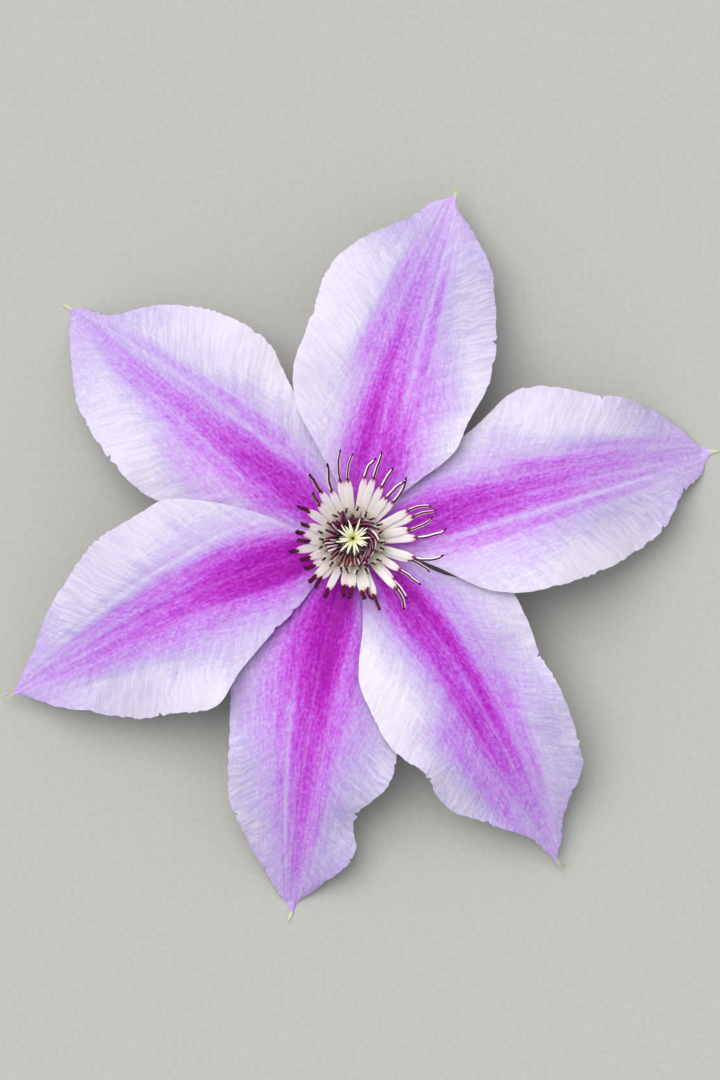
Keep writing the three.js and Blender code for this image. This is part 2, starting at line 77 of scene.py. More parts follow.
# left is a tepal's counter-clockwise side. inner tells its whorl, and lap, crest and droop shape it as in
# the solids. wash is how far the colour spreads over each side, and nicks are the larger cuts in its
# margin: share, depth and length. bow is how far the middle vein swings aside, depth how strong the bar's
# colour is, the number after it how cool the blade is, partly by its own colour and partly by painted
# shade, hook how far its end bends aside, and seed starts its random draws. stripes are its stronger and
# weaker streaks: place among the veins, half-width, strength, and the shares where they start and end.
TEPALS = [
    {
        "name": "tepal_1", "heading": 73.5, "length": 79.4, "inner": True, "droop": 1.6,
        "left": {"widths": [2.2, 5.5, 11.5, 19.2, 22.4, 22.2, 22, 21.3, 15.6, 8, 4.7, 1.3, 0.4],
                 "lap": 1, "crest": 0.42, "wash": 1.1, "nicks": [(0.8, 0.5, 0.8), (0.905, 0.9, 0.9)]},
        "right": {"widths": [2.2, 4.8, 9.3, 15, 16.3, 18.1, 17.6, 15.3, 12.1, 7, 1.7, 0.5, 0.4],
                  "lap": 1, "crest": 0.52, "wash": 1.6, "nicks": [(0.62, 0.8, 0.7), (0.9, 0.6, 0.6)]},
        "bow": 2.3, "depth": 0.8, "tone_and_shade": 0.35, "hook": 0.5, "seed": 11,
        "stripes": [
            (0.25, 0.3, 0.16, 0.22, 0.62), (-1.2, 0.5, 0.2, 0.08, 0.34), (-1.3, 0.6, 0.12, 0.08, 0.8),
            (-0.25, 0.14, -0.12, 0.15, 0.5), (-1.05, 0.16, -0.14, 0.36, 0.85),
            (1.7, 0.6, 0.28, 0.46, 0.85), (-1.6, 0.3, 0.14, 0.5, 0.8), (-2.9, 0.8, 0.1, 0.38, 0.62),
            (-2.1, 0.7, 0.15, 0.2, 0.5), (-0.6, 0.25, -0.12, 0.5, 0.8),
        ],
    },
    {
        "name": "tepal_2", "heading": 14, "length": 81.6, "inner": False, "droop": 6.4,
        "left": {"widths": [2.4, 6.8, 10.6, 14, 18, 22.6, 21.7, 18, 15, 9.3, 3.2, 1.8, 0.4],
                 "lap": -1, "crest": 0.72, "wash": 1.45, "nicks": [(0.725, 0.9, 0.6), (0.83, 1.2, 0.7)]},
        "right": {"widths": [2.2, 5.2, 9.7, 16.3, 19.3, 19.6, 19.2, 17.3, 13.6, 6.9, 4.2, 1.6, 0.4],
                  "lap": 2.2, "crest": 0.45, "wash": 1.6, "nicks": [(0.8, 0.9, 0.8), (0.88, 0.8, 0.7)]},
        "bow": 0.9, "depth": 0.82, "tone_and_shade": 0.25, "hook": -0.3, "seed": 22,
        "stripes": [
            (0.1, 0.5, 0.08, 0.1, 0.6), (-1, 0.16, -0.18, 0.2, 0.85), (-1.5, 0.35, 0.14, 0.25, 0.8),
            (1.4, 0.35, 0.24, 0.44, 0.78), (2.2, 0.5, 0.2, 0.6, 0.9), (0.9, 0.25, 0.12, 0.5, 0.9),
            (-0.1, 0.2, -0.1, 0.45, 0.9),
        ],
    },
    {
        "name": "tepal_3", "heading": -57.5, "length": 83.8, "inner": True, "droop": 2.2,
        "left": {"widths": [2.4, 8, 12.6, 21.8, 22.2, 20.6, 20.4, 18.6, 15.6, 7, 3, 0.6, 0.4],
                 "lap": -1.2, "crest": 0.66, "wash": 1.35, "nicks": [(0.5, 0.6, 0.6), (0.84, 1.0, 0.6)]},
        "right": {"widths": [2, 4, 8, 14.4, 16.3, 16.6, 13.8, 13.8, 7.7, 2.5, 0.9, 0.5, 0.4],
                  "lap": 1, "crest": 0.58, "wash": 1.0, "nicks": [(0.615, 0.9, 0.7), (0.79, 0.6, 0.6)]},
        "bow": 4.2, "depth": 0.9, "tone_and_shade": 0.6, "hook": 0.6, "seed": 33,
        "stripes": [
            (0.35, 0.3, 0.14, 0.1, 0.62), (0.05, 0.12, -0.14, 0.25, 0.8), (-0.95, 0.4, 0.26, 0.42, 0.75),
            (1, 0.3, -0.2, 0.1, 0.45), (1.6, 0.55, 0.18, 0.5, 0.85), (-2.3, 1.2, 0.4, 0.5, 0.86),
            (0.2, 0.5, 0.14, 0.5, 0.8), (3.2, 1.2, 0.12, 0.5, 0.8),
        ],
    },
    {
        "name": "tepal_4", "heading": -99.4, "length": 83.5, "inner": False, "droop": 5.6,
        "left": {"widths": [2, 4, 7, 11, 14, 16.4, 15.9, 10.3, 11.3, 6.2, 1.8, 0.4, 0.4],
                 "lap": -1, "crest": 0.56, "wash": 2.0, "nicks": [(0.69, 1.0, 0.8), (0.81, 0.7, 0.5)]},
        "right": {"widths": [2.4, 6.8, 11.2, 16.5, 20.2, 19.6, 18.6, 17.2, 12.2, 6.8, 2.8, 0.6, 0.4],
                  "lap": -1, "crest": 0.66, "wash": 2.1, "nicks": [(0.74, 0.9, 0.7), (0.87, 0.8, 0.5)]},
        "bow": -2.8, "depth": 1.0, "tone_and_shade": 0.6, "hook": -0.4, "seed": 44,
        "stripes": [
            (0.35, 0.45, 0.2, 0.06, 0.48), (1.3, 0.5, 0.16, 0.44, 0.85), (-1.2, 0.5, 0.12, 0.1, 0.45),
            (-1, 0.14, -0.16, 0.4, 0.85), (-1.5, 0.3, 0.1, 0.45, 0.8), (0.15, 0.3, 0.16, 0.55, 0.92),
            (-0.4, 0.14, -0.06, 0.5, 0.9), (1.75, 0.5, 0.22, 0.24, 0.46), (-1.9, 0.8, 0.16, 0.08, 0.48),
        ],
    },
    {
        "name": "tepal_5", "heading": -155.7, "length": 82.4, "inner": True, "droop": 2,
        "left": {"widths": [2, 4.3, 7.8, 11.1, 15.1, 20, 17.9, 15.6, 10.4, 6.1, 1.8, 0.5, 0.4],
                 "lap": 1, "crest": 0.48, "wash": 1.6,
                 "nicks": [(0.215, 0.4, 1.6), (0.275, 0.45, 1.6), (0.64, 0.9, 0.5)]},
        "right": {"widths": [2.4, 7.5, 14, 20.2, 24.3, 23.6, 22.6, 18.6, 12.9, 6.5, 2.5, 0.7, 0.4],
                  "lap": 1, "crest": 0.62, "wash": 1.25, "nicks": [(0.6, 0.5, 0.6)]},
        "bow": -3.8, "depth": 0.97, "tone_and_shade": 0.05, "hook": -0.3, "seed": 55,
        "stripes": [
            (0.75, 0.35, 0.22, 0.08, 0.38), (0.1, 0.5, 0.06, 0.1, 0.45), (-0.5, 0.22, -0.2, 0.4, 0.85),
            (-1.15, 0.25, 0.14, 0.3, 0.8), (-1.75, 0.2, -0.1, 0.3, 0.8), (0.25, 0.16, -0.12, 0.5, 0.85),
            (1, 0.25, 0.14, 0.5, 0.85), (1.8, 0.7, 0.16, 0.5, 0.85), (1.7, 0.6, 0.12, 0.08, 0.5),
        ],
    },
    {
        "name": "tepal_6", "heading": 140.6, "length": 81.2, "inner": False, "droop": 6.6,
        "left": {"widths": [2.2, 5.8, 9, 13.5, 17.8, 20.4, 19.8, 17.9, 14.4, 8.6, 3.8, 0.7, 0.4],
                 "lap": -1, "crest": 0.61, "wash": 1.5, "nicks": [(0.635, 0.9, 0.8)]},
        "right": {"widths": [2.6, 7.8, 11.6, 13.9, 17.6, 21.2, 20.6, 18, 12, 4.4, 2.2, 0.9, 0.4],
                  "lap": -1, "crest": 0.56, "wash": 1.15, "nicks": [(0.9, 0.8, 0.6), (0.66, 0.5, 0.5)]},
        "bow": -0.4, "depth": 0.78, "tone_and_shade": 0.1, "hook": 0.4, "seed": 66,
        "stripes": [
            (0.1, 0.4, 0.12, 0.1, 0.45), (1, 0.14, -0.12, 0.3, 0.7), (-0.85, 0.22, -0.18, 0.25, 0.85),
            (0.1, 0.15, 0.04, 0.45, 0.9), (-0.4, 0.2, -0.16, 0.45, 0.85), (-1.5, 0.3, 0.14, 0.3, 0.85),
            # The last stripe paints the shade beside tepal_1's lapping margin as a lilac streak.
            (1.3, 0.5, 0.14, 0.2, 0.85), (2.6, 0.8, 0.12, 0.28, 0.6),
        ],
    },
]

RECEPTACLE_RADIUS = 3.6
NECK_RADIUS = 2.2
NECK_TOP = 4.6
STALK_RADIUS = 1.15
STALK_HEADING = np.radians(-160)
STALK_REACH = 46

# The rings on the receptacle: how many strands, where the random draws start, and their root's distance
# from the axis and height.
SPREAD = {"count": 34, "seed": 633563, "out": 4.1, "up": ATTACH_HEIGHT + 2.9}
LEANING = {"count": 22, "seed": 23, "out": 4.15, "up": ATTACH_HEIGHT + 4.2}
STANDING = {"count": 36, "seed": 37, "out": 3.75, "up": ATTACH_HEIGHT + 4.2}
STAR = {"count": 22, "seed": 51, "out": 0.4, "up": ATTACH_HEIGHT + 8.4}

# The star leans off the axis along +Y, and its styles start on STAR_BASE, a circle round the core's foot.
# A side is a heading in radians. BAND_RADII are those of the band that a ring of stamens grows from. A
# stamen's line has FILAMENT_PARTS steps and then ANTHER_PARTS, and its anther starts one step before its
# filament ends.
STAR_LEAN = 0.5
STAR_BASE = {"radius": 2.2, "up": ATTACH_HEIGHT + NECK_TOP + 0.3}
OPEN_SIDE = np.radians(32)
SWIRL_SIDE = np.radians(35)
RUSTY_SIDE = -1.9
BROAD_SIDE = 2
BAND_RADII = (2.5, 4.6)
FILAMENT_PARTS = 14
ANTHER_PARTS = 14
FILAMENT = slice(0, FILAMENT_PARTS + 1)
ANTHER = slice(FILAMENT_PARTS - 1, None)

# What the solids don't have: the thickness of a blade's margin, the outer veins' distance from the middle
# one as a multiple of the side veins', how near the floor hairs may come, and the number of random values
# along a side of the lattice that unevenness is drawn from.
MARGIN_THICKNESS = 0.14
OUTER_VEINS = 1.9
FLOOR_GAP = 0.05
LATTICE = 128


# --- Numbers and random draws ------------------------------------------------------------------------

def smooth(x, low, high):
    """0 up to low, 1 from high on, and 3t^2 - 2t^3 between them."""
    t = np.clip((x - low) / (high - low), 0, 1)
    return t * t * (3 - 2 * t)


def bell(x, middle, width):
    """exp(-d^2), where d is the distance from the middle in widths."""
    return np.exp(-((x - middle) / width) ** 2)


def plateau(x, start, full, fading, gone):
    """0 up to start, 1 from full to fading and 0 again from gone on, with smooth steps between them."""
    return smooth(x, start, full) * (1 - smooth(x, fading, gone))


def unevenness(u, v, seed):
    """Soft random heights from -1 to 1: a random value wherever u and v are whole, blended by smoothstep."""
    lattice = np.random.default_rng(seed).uniform(-1, 1, (LATTICE, LATTICE))
    u, v = np.broadcast_arrays(u, v)
    i, j = np.floor(u).astype(int), np.floor(v).astype(int)
    a, b = smooth(u - i, 0, 1), smooth(v - j, 0, 1)
    i, j, next_i, next_j = i % LATTICE, j % LATTICE, (i + 1) % LATTICE, (j + 1) % LATTICE
    near = lattice[i, j] * (1 - a) + lattice[next_i, j] * a
    far = lattice[i, next_j] * (1 - a) + lattice[next_i, next_j] * a
    return near * (1 - b) + far * b


def draws(seed, count, each):
    """count rows of each numbers from 0 to 1, from the same linear congruential rule as the solids use."""
    factor, step, cycle = 1664525, 1013904223, 2 ** 32
    state = seed
    values = []
    for _ in range(count * each):
        state = (state * factor + step) % cycle
        values.append(state / cycle)
    return np.array(values).reshape(count, each)


def spread_over(middle, span, draw):
    """A number from the span round the middle, by a draw from 0 to 1."""
    return middle + span * (draw - 0.5)


def own_numbers(count, seed):
    """A number from 0 to 1 for each of count strands."""
    return np.random.default_rng(seed).random(count)


# --- Surfaces ----------------------------------------------------------------------------------------

class Surface:
    """Points in millimetres, four-cornered faces over them, values at the points and pattern maps. Values
    and the two parts of a map may be given for each point or for whole rows of points."""

    def __init__(self, points, faces, values, maps):
        def for_points(value):
            return np.broadcast_to(value, points.shape[:-1]).reshape(-1)

        self.points = points.reshape(-1, 3)
        self.faces = faces.reshape(-1, 4)
        self.values = {key: for_points(value) for key, value in values.items()}
        self.maps = {key: np.stack([for_points(u), for_points(v)], -1) for key, (u, v) in maps.items()}


def tubes(points, values, maps):
    """Closed skins over points[tube, ring, side]. Each ring runs counter-clockwise seen from its tube's far
    end. Neighbouring rings are joined, and both ends are closed by strips between opposite sides."""
    sides = points.shape[2]
    number = np.arange(points[..., 0].size).reshape(points.shape[:3])
    after = np.roll(number, -1, axis=2)
    walls = np.stack([number[:, :-1], after[:, :-1], after[:, 1:], number[:, 1:]], -1)
    j = np.arange(sides // 2 - 1)
    strip = np.stack([j, j + 1, sides - 2 - j, sides - 1 - j], -1)
    far_caps = number[:, -1][:, strip]
    near_caps = number[:, 0][:, strip[:, ::-1]]
    faces = [part.reshape(-1, 4) for part in (walls, far_caps, near_caps)]
    return Surface(points, np.concatenate(faces), values, maps)


def together(*surfaces):
    """One surface from several that carry the same values and maps."""
    starts = np.cumsum([0] + [len(s.points) for s in surfaces[:-1]])
    faces = [s.faces + start for s, start in zip(surfaces, starts)]
    return Surface(
        np.concatenate([s.points for s in surfaces]),
        np.concatenate(faces),
        {key: np.concatenate([s.values[key] for s in surfaces]) for key in surfaces[0].values},
        {key: np.concatenate([s.maps[key] for s in surfaces]).T for key in surfaces[0].maps},
    )


def volume(points, faces):
    """Six times the volume inside the faces: the sum of the triple products of their triangles."""
    a, b, c, d = (points[faces[:, k]] for k in range(4))
    return np.sum(a * np.cross(b, c)) + np.sum(a * np.cross(c, d))


def in_scene(name, data):
    """An object that shows the data, linked into the scene."""
    made = bpy.data.objects.new(name, data)
    bpy.context.scene.collection.objects.link(made)
    return made


def make_piece(name, surface, material, slot, *nodes):
    """Puts a surface into a mesh that stands for CAD nodes and rides on the part's one body."""
    points = surface.points + AXIS
    if volume(points, surface.faces) <= 0:
        raise RuntimeError(f"{name} is inside out")
    mesh = bpy.data.meshes.new(name)
    mesh.vertices.add(len(points))
    mesh.vertices.foreach_set("co", (points * MM).astype(np.float32).ravel())
    corners = surface.faces.ravel().astype(np.int32)
    mesh.loops.add(len(corners))
    mesh.loops.foreach_set("vertex_index", corners)
    mesh.polygons.add(len(surface.faces))
    mesh.polygons.foreach_set("loop_start", np.arange(0, len(corners), 4, dtype=np.int32))
    mesh.update(calc_edges=True)
    mesh.shade_smooth()
    for key, value in surface.values.items():
        mesh.attributes.new(key, "FLOAT", "POINT").data.foreach_set("value", value.astype(np.float32))
    for key, value in surface.maps.items():
        layer = mesh.uv_layers.new(name=key)
        layer.uv.foreach_set("vector", value[corners].astype(np.float32).ravel())
    mesh.materials.append(material)
    piece = in_scene(name, mesh)
    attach(piece, BODY)
    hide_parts(*nodes)


# --- Tepals ------------------------------------------------------------------------------------------

def half_width(widths, share):
    """A cubic through the half-widths at the stations, with slopes from each station's neighbours."""
    widths = np.array(widths, float)
    last = len(STATIONS) - 1
    k = np.arange(last + 1)
    low, high = np.maximum(k - 1, 0), np.minimum(k + 1, last)
    slopes = (widths[high] - widths[low]) / (STATIONS[high] - STATIONS[low])
    share = np.clip(share, STATIONS[0], 1)
    i = np.clip(np.searchsorted(STATIONS, share) - 1, 0, last - 1)
    step = STATIONS[i + 1] - STATIONS[i]
    t = (share - STATIONS[i]) / step
    h = smooth(t, 0, 1)
    bend = step * (slopes[i] * t * (1 - t) ** 2 - slopes[i + 1] * t * t * (1 - t))
    return widths[i] * (1 - h) + widths[i + 1] * h + bend


def margin(tepal, side, share, tooth_depth):
    """A side's half-width, less small uneven teeth, the larger nicks and the thinning towards the tip, but
    never thinner than the thread that the tip ends in."""
    along = share * tepal["length"]
    seed = tepal["seed"] + 1 + SIDES.index(side)
    coarse = np.abs(unevenness(along / 1.7, 0.5, seed)) ** 0.8
    fine = np.abs(unevenness(along / 0.75, 0.5, seed + 100))
    toothed = (0.25 + 0.75 * smooth(share, 0.35, 0.65)) * plateau(share, 0.2, 0.3, 0.94, 0.97)
    width = half_width(tepal[side]["widths"], share)
    width = width + 0.35 * tooth_depth - tooth_depth * toothed * (0.9 * coarse + 0.4 * fine)
    for place, depth, length in tepal[side]["nicks"]:
        past = along - place * tepal["length"]
        width = width - depth * plateau(past, -length, 0, 0, 0.35 * length)
    thread = 0.3 * (1 - smooth(share, 0.985, 1)) + 0.14
    return np.maximum(width * (1 - 0.75 * smooth(share, 0.93, 0.985)), thread)


def veins(tepal, share, offset):
    """Distance to the middle vein, which bows aside as a sine, and how far the two side veins lie from it:
    a smooth step near the claw times a power of what is left to the tip."""
    middle = tepal["bow"] * np.sin(np.pi * share ** 0.8)
    spread = 6 * smooth(share, -0.12, 0.26) * (1 - share) ** 0.62 + 0.15
    return offset - middle, spread


def solid_height(tepal, side, share, reach, offset, aside):
    """The height of the solids' underside: the whorl's level and the arch, plus the lift where tepals lap,
    the groove along the middle vein and the waves of the margin, less the tip's droop."""
    lift = LAP_LIFT * side["lap"] * plateau(share, 0.08, 0.28, 0.42, 0.68) * smooth(reach, 0.25, 1)
    groove_width = 0.4 * half_width(side["widths"], share)
    groove = -CHANNEL * np.maximum(0, 1 - aside / groove_width) * smooth(share, 0.05, 0.2)
    ruffled = plateau(share, 0.45, 0.62, 0.86, 1) * reach ** 3
    ruffle = RUFFLE * ruffled * np.sin(2 * np.pi * (RUFFLE_COUNT * share + side["crest"]))
    buckled = plateau(share, 0.3, 0.55, 0.72, 0.92) * reach ** 1.6
    buckle = BUCKLE * buckled * np.cos(2 * np.pi * (share - side["crest"]) / BUCKLE_LENGTH)
    droop = tepal["droop"] * smooth(share, 0.45, 1.1) ** 1.5
    level = ATTACH_HEIGHT + (WHORL_STEP if tepal["inner"] else 0)
    rise = (CREST_RADIUS - np.hypot(share * tepal["length"], offset)) / (CREST_RADIUS - CLAW_RADIUS)
    return level + ARCH * (1 - rise ** 2) + lift + groove + ruffle + buckle - droop


def tepal_surface(tepal, looks):
    """A blade in two sheets. Rings run over the upper sheet from the left margin to the right one and back
    under the lower sheet. Height is the solids' underside, plus the relief of its veins and creases, plus
    the blade's own thickness on the upper sheet."""
    seed = tepal["seed"]
    share = np.linspace(BLADE_START / tepal["length"], 1, looks.rows + 1)[:, None]
    along = share * tepal["length"]
    # Columns crowd towards the margins.
    even = np.linspace(-1, 1, looks.columns + 1)
    columns = 0.55 * even + 0.45 * np.sin(np.pi / 2 * even)
    across = np.concatenate([columns[::-1], columns])
    upper = np.concatenate([np.ones_like(columns), np.zeros_like(columns)])
    reach = np.abs(across)
    left, right = (margin(tepal, side, share, looks.tooth_depth / MM) for side in SIDES)
    offset = across * np.where(across >= 0, left, right)

    beside, spread = veins(tepal, share, offset)
    aside = np.abs(beside)
    left, right = (solid_height(tepal, tepal[side], share, reach, offset, aside) for side in SIDES)
    underside = np.where(across >= 0, left, right)

    # Side veins leave the middle forwards and bend outwards: along less a root of the distance aside, and
    # they waver a little.
    course = along - looks.vein_bend * np.sqrt(np.maximum(aside - 1.5, 0) + 0.3)
    course = course + 0.5 * unevenness(offset / 2.2, along / 3.5, seed + 12)
    side_furrows = 0.16 * bell(aside, spread, 0.45) + 0.1 * bell(aside, OUTER_VEINS * spread, 0.6)
    furrows = side_furrows + 0.12 * bell(aside, 0, 0.4)
    ribbed = 0.07 * unevenness(4.5 * beside / spread, along / 16, seed + 10) * (1 - smooth(aside, 6, 12))
    open_blade = smooth(aside, 3, 9)
    crepe = 0.06 * open_blade * unevenness(course / 0.55, offset / 3.5, seed + 4)
    folds = 0.15 * open_blade * unevenness(course / 2.2, offset / 6, seed + 5)
    swells = 0.3 * smooth(reach, 0.2, 0.9) * unevenness(along / 9, offset / 8, seed + 6)
    crimped = 0.18 * smooth(reach, 0.8, 1) * smooth(share, 0.2, 0.4)
    crimp = crimped * unevenness(along / 1.7, offset / 30, seed + 7)
    relief = plateau(share, 0.06, 0.16, 0.92, 0.98) * (ribbed + crepe + folds + swells + crimp - furrows)

    middle = looks.thickness / MM - MARGIN_THICKNESS + 0.3 * (1 - smooth(share, 0.05, 0.35))
    thickness = MARGIN_THICKNESS + middle * (1 - reach ** 3)
    height = np.maximum(underside + relief, 0) + upper * thickness
    values = tepal_colouring(tepal, share, offset, beside, spread, course)
    values["under"] = 1 - upper
    fan = 4 * beside / (spread + 1.5 * smooth(share, 0.5, 1))

    hooked = offset + tepal["hook"] * smooth(share, 0.965, 1) ** 2
    heading = np.radians(tepal["heading"])
    x = along * np.cos(heading) - hooked * np.sin(heading)
    y = along * np.sin(heading) + hooked * np.cos(heading)
    points = np.stack([x, y, height], -1)[None]
    return tubes(points, values, {"Veins": (course, offset), "Fan": (along, fan)})


def tepal_colouring(tepal, share, offset, beside, spread, course):
    """How strong the bar's colour is, from 0 to 1: a soft core between the side veins, a weaker wash beyond
    them that frays along its outer edge, and the tepal's own stripes. With it go the painted cool shade over
    the blade, the pale lines of the veins and where the thread at the tip begins."""
    seed = tepal["seed"]
    place = beside / spread
    aside = np.abs(place)
    stations = [0.05, 0.14, 0.25, 0.42, 0.6, 0.8, 0.9]
    core = np.interp(share, stations, [0.6, 0.9, 0.86, 0.62, 0.4, 0.18, 0.05])
    core = core * (1 - smooth(aside, 0.4, 1.4))

    reach = np.where(place >= 0, tepal["left"]["wash"], tepal["right"]["wash"])
    reach = reach * (1.1 - 0.3 * smooth(share, 0.42, 0.62))
    frayed = 0.16 * unevenness(course / 1.5, 0.5, seed + 8) + 0.1 * unevenness(course / 0.7, 0.5, seed + 9)
    wash = np.interp(share, [0.05, 0.25, 0.42, 0.6, 0.8, 1], [0.36, 0.48, 0.42, 0.34, 0.28, 0.24])
    wash = wash * (1 - smooth(aside / (reach * (1 + frayed)), 0.4, 3))
    wash = wash * (1 - 0.4 * smooth(aside, 1.2, 2) * (1 - smooth(share, 0.3, 0.5)))
    claw = 0.4 * (1 - smooth(share, 0.1, 0.28)) * (1 - smooth(np.abs(offset), 5, 12))
    tip = 0.26 * smooth(share, 0.7, 0.95)

    strength = np.maximum(wash, np.maximum(claw, tip))
    strength = tepal["depth"] * (strength + core * (1 - strength))
    for middle, width, amount, start, end in tepal["stripes"]:
        shown = plateau(share, start - 0.06, start + 0.06, end - 0.12, end + 0.06)
        strength = strength + amount * shown * bell(place, middle, width)
    lines = 0.34 * bell(aside, 1, 0.08) + 0.22 * bell(aside, OUTER_VEINS, 0.12)
    lines = lines + 0.28 * bell(aside, 0, 0.06)
    # Painted shade: a cool tint that grows past the middle, deepens by tepal and drifts in patches.
    painted_shade = 0.15 + 0.4 * plateau(share, 0.3, 0.75, 0.84, 1) + 0.6 * tepal["tone_and_shade"]
    drift = unevenness(share * 3, offset / 9, seed + 11)
    return {
        "strength": np.clip(0.92 * strength, 0, 1),
        "painted_shade": np.clip(painted_shade + 0.45 * drift, 0, 1),
        "pale": plateau(share, 0.2, 0.55, 0.84, 0.97) * lines,
        "thread": smooth(share, 0.966, 0.98),
    }


# --- Stamens, styles and hairs -----------------------------------------------------------------------

def grown(count, out, up, stretches):
    """Centrelines (out, side, up) from a root through one stretch after another, and how far each point has
    turned aside. Along a stretch the elevation and the turn change evenly, and the line is the running sum
    of its steps."""
    start = np.zeros((count, 1, 3))
    start[:, 0, 0] = out
    start[:, 0, 2] = up
    before = np.zeros((count, 1))
    steps, turns = [], [before]
    for length, low, high, aside, parts in stretches:
        length, low, high, aside = (np.broadcast_to(v, count)[:, None] for v in (length, low, high, aside))
        share = (np.arange(parts)[None, :] + 0.5) / parts
        elevation = np.radians(low + (high - low) * share)
        turn = before + np.radians(aside * share)
        step = length / parts
        flat = step * np.cos(elevation)
        steps.append(np.stack([flat * np.cos(turn), flat * np.sin(turn), step * np.sin(elevation)], -1))
        turns.append(turn)
        before = before + np.radians(aside)
    lines = np.concatenate([start, start + np.cumsum(np.concatenate(steps, axis=1), axis=1)], axis=1)
    return lines, np.concatenate(turns, axis=1)


def turned(lines, headings):
    """Centrelines (out, side, up) turned to their headings about the bloom's axis."""
    c, s = np.cos(headings)[:, None], np.sin(headings)[:, None]
    out, side, up = lines[..., 0], lines[..., 1], lines[..., 2]
    return np.stack([out * c - side * s, out * s + side * c, up], -1)


def ring_angles(sides):
    """Where the corners of a ring stand, half a step off the first direction."""
    return 2 * np.pi * (np.arange(sides) + 0.5) / sides


def strand_values(run=0.0, edge=0.0, own=0.0, warm=0.0):
    """What the finishes of strands read."""
    return {"run": run, "edge": edge, "own": own, "warm": warm}


def straps(lines, facing, widths, depths, sides, roll=0.0, hollow=0.0, waist=0.0):
    """Flattened strands along centrelines. Each ring is square to its line and lies across the level
    direction that it faces. The section is an ellipse as wide and deep as given. hollow sinks a channel
    along both faces, waist thins the middle so that the edges swell, and roll turns the section."""
    def for_rings(value):
        return np.broadcast_to(value, lines.shape[:2])[..., None]

    along = np.gradient(lines, axis=1)
    along /= np.linalg.norm(along, axis=2, keepdims=True)
    facing = for_rings(facing)
    sideways = np.concatenate([-np.sin(facing), np.cos(facing), 0 * facing], -1)
    depth = np.cross(along, sideways)
    depth /= np.linalg.norm(depth, axis=2, keepdims=True)
    width = np.cross(depth, along)
    angle = ring_angles(sides)
    c, s = np.cos(angle), np.sin(angle)
    across = c * for_rings(widths) / 2
    lift = s * (1 - hollow * bell(c, 0, 0.35)) * (1 - waist * (1 - c * c)) * for_rings(depths) / 2
    roll = for_rings(roll)
    a = across * np.cos(roll) - lift * np.sin(roll)
    b = across * np.sin(roll) + lift * np.cos(roll)
    return lines[:, :, None, :] + a[..., None] * width[:, :, None, :] + b[..., None] * depth[:, :, None, :]


def strap_surface(lines, facing, widths, depths, sides, own, warm=0.0, **shape):
    """Straps with what their finish reads: run from 0 to 1 along, edge from -1 to 1 across, own and warm
    for each strap, and a map of millimetres across and along that starts elsewhere on each strap."""
    count, rings = lines.shape[:2]
    run = np.linspace(0, 1, rings)[None, :, None]
    edge = np.cos(ring_angles(sides))
    own, warm = (np.broadcast_to(v, count)[:, None, None] for v in (own, warm))
    lengths = np.linalg.norm(np.diff(lines, axis=1), axis=2).sum(axis=1)[:, None, None]
    across = edge * np.max(widths) / 2 + 7 * own + 3 * np.arange(count)[:, None, None]
    points = straps(lines, facing, widths, depths, sides, **shape)
    return tubes(points, strand_values(run, edge, own, warm), {"Strand": (across, run * lengths)})


def round_band(low, high):
    """The ring that a whorl of stamens grows from: an oval section that is carried round the axis, from low
    to high over the tepals' level."""
    inner, outer = BAND_RADII
    rings, sides = 48, 10
    around = 2 * np.pi * np.arange(rings)[:, None] / rings
    angle = ring_angles(sides)
    radius = (inner + outer) / 2 + (outer - inner) / 2 * np.cos(angle)
    height = ATTACH_HEIGHT + (low + high) / 2 - (high - low) / 2 * np.sin(angle) + 0 * around
    points = np.stack([radius * np.cos(around), radius * np.sin(around), height], -1)
    number = np.arange(height.size).reshape(height.shape)
    after = np.roll(number, -1, axis=1)
    faces = np.stack([number, after, np.roll(after, -1, axis=0), np.roll(number, -1, axis=0)], -1)
    values = strand_values(edge=np.cos(angle), own=0.5)
    return Surface(points, faces, values, {"Strand": (radius, radius * around)})


def whorl(ring, uneven, each):
    """Headings evenly spread round the axis, each a little off its place, all draws, and the row, 0 or 1,
    that each strand stands in."""
    count = ring["count"]
    made = draws(ring["seed"], count, each)
    headings = 2 * np.pi * (np.arange(count) + uneven * (made[:, 0] - 0.5)) / count
    return headings, made, np.arange(count) % 2


def placed(ring, headings, stretches, inwards=0.0, raised=0.0):
    """A ring's centrelines, which way each of their points faces, and the strands' headings."""
    lines, turns = grown(ring["count"], ring["out"] - inwards, ring["up"] + raised, stretches)
    return turned(lines, headings), headings[:, None] + turns, headings


def towards(headings, side, width):
    """1 where headings meet a side and less the further they are from it, by a bell of that width."""
    return bell(np.angle(np.exp(1j * (headings - side))), 0, width)


def openness(headings):
    """1 on the side where the outer stamens lie open, 0 on the other side."""
    return smooth(np.cos(headings - OPEN_SIDE), -0.45, 0.45)


def spread_stamens():
    """The outer ring: a filament that leans outwards and an anther beyond it. On the open side both are
    longer and lie low, and on the other side the anthers curl up."""
    headings, made, row = whorl(SPREAD, uneven=1, each=5)
    opened = openness(headings)
    lie = spread_over(40 - 5 * opened + 6 * row, 4, made[:, 1])
    end = 30 - 12 * opened
    return placed(SPREAD, headings, [
        (spread_over(8.4 + 1.8 * opened, 3.4, made[:, 2]), lie, end, 0, FILAMENT_PARTS),
        (spread_over(3.9 + 2 * opened, 3.4, made[:, 3]), end, end + 70 * (1 - opened),
         spread_over(0, 100, made[:, 4]), ANTHER_PARTS),
    ])


def leaning_stamens():
    """The inner ring: a pale filament that leans out and an anther that curls back in."""
    headings, made, _ = whorl(LEANING, uneven=0.5, each=5)
    return placed(LEANING, headings, [
        (spread_over(4.4, 1.6, made[:, 1]), spread_over(38, 16, made[:, 2]), 62, 0, FILAMENT_PARTS),
        (spread_over(2.4, 0.8, made[:, 3]), 80, 165, spread_over(0, 90, made[:, 4]), ANTHER_PARTS),
    ])


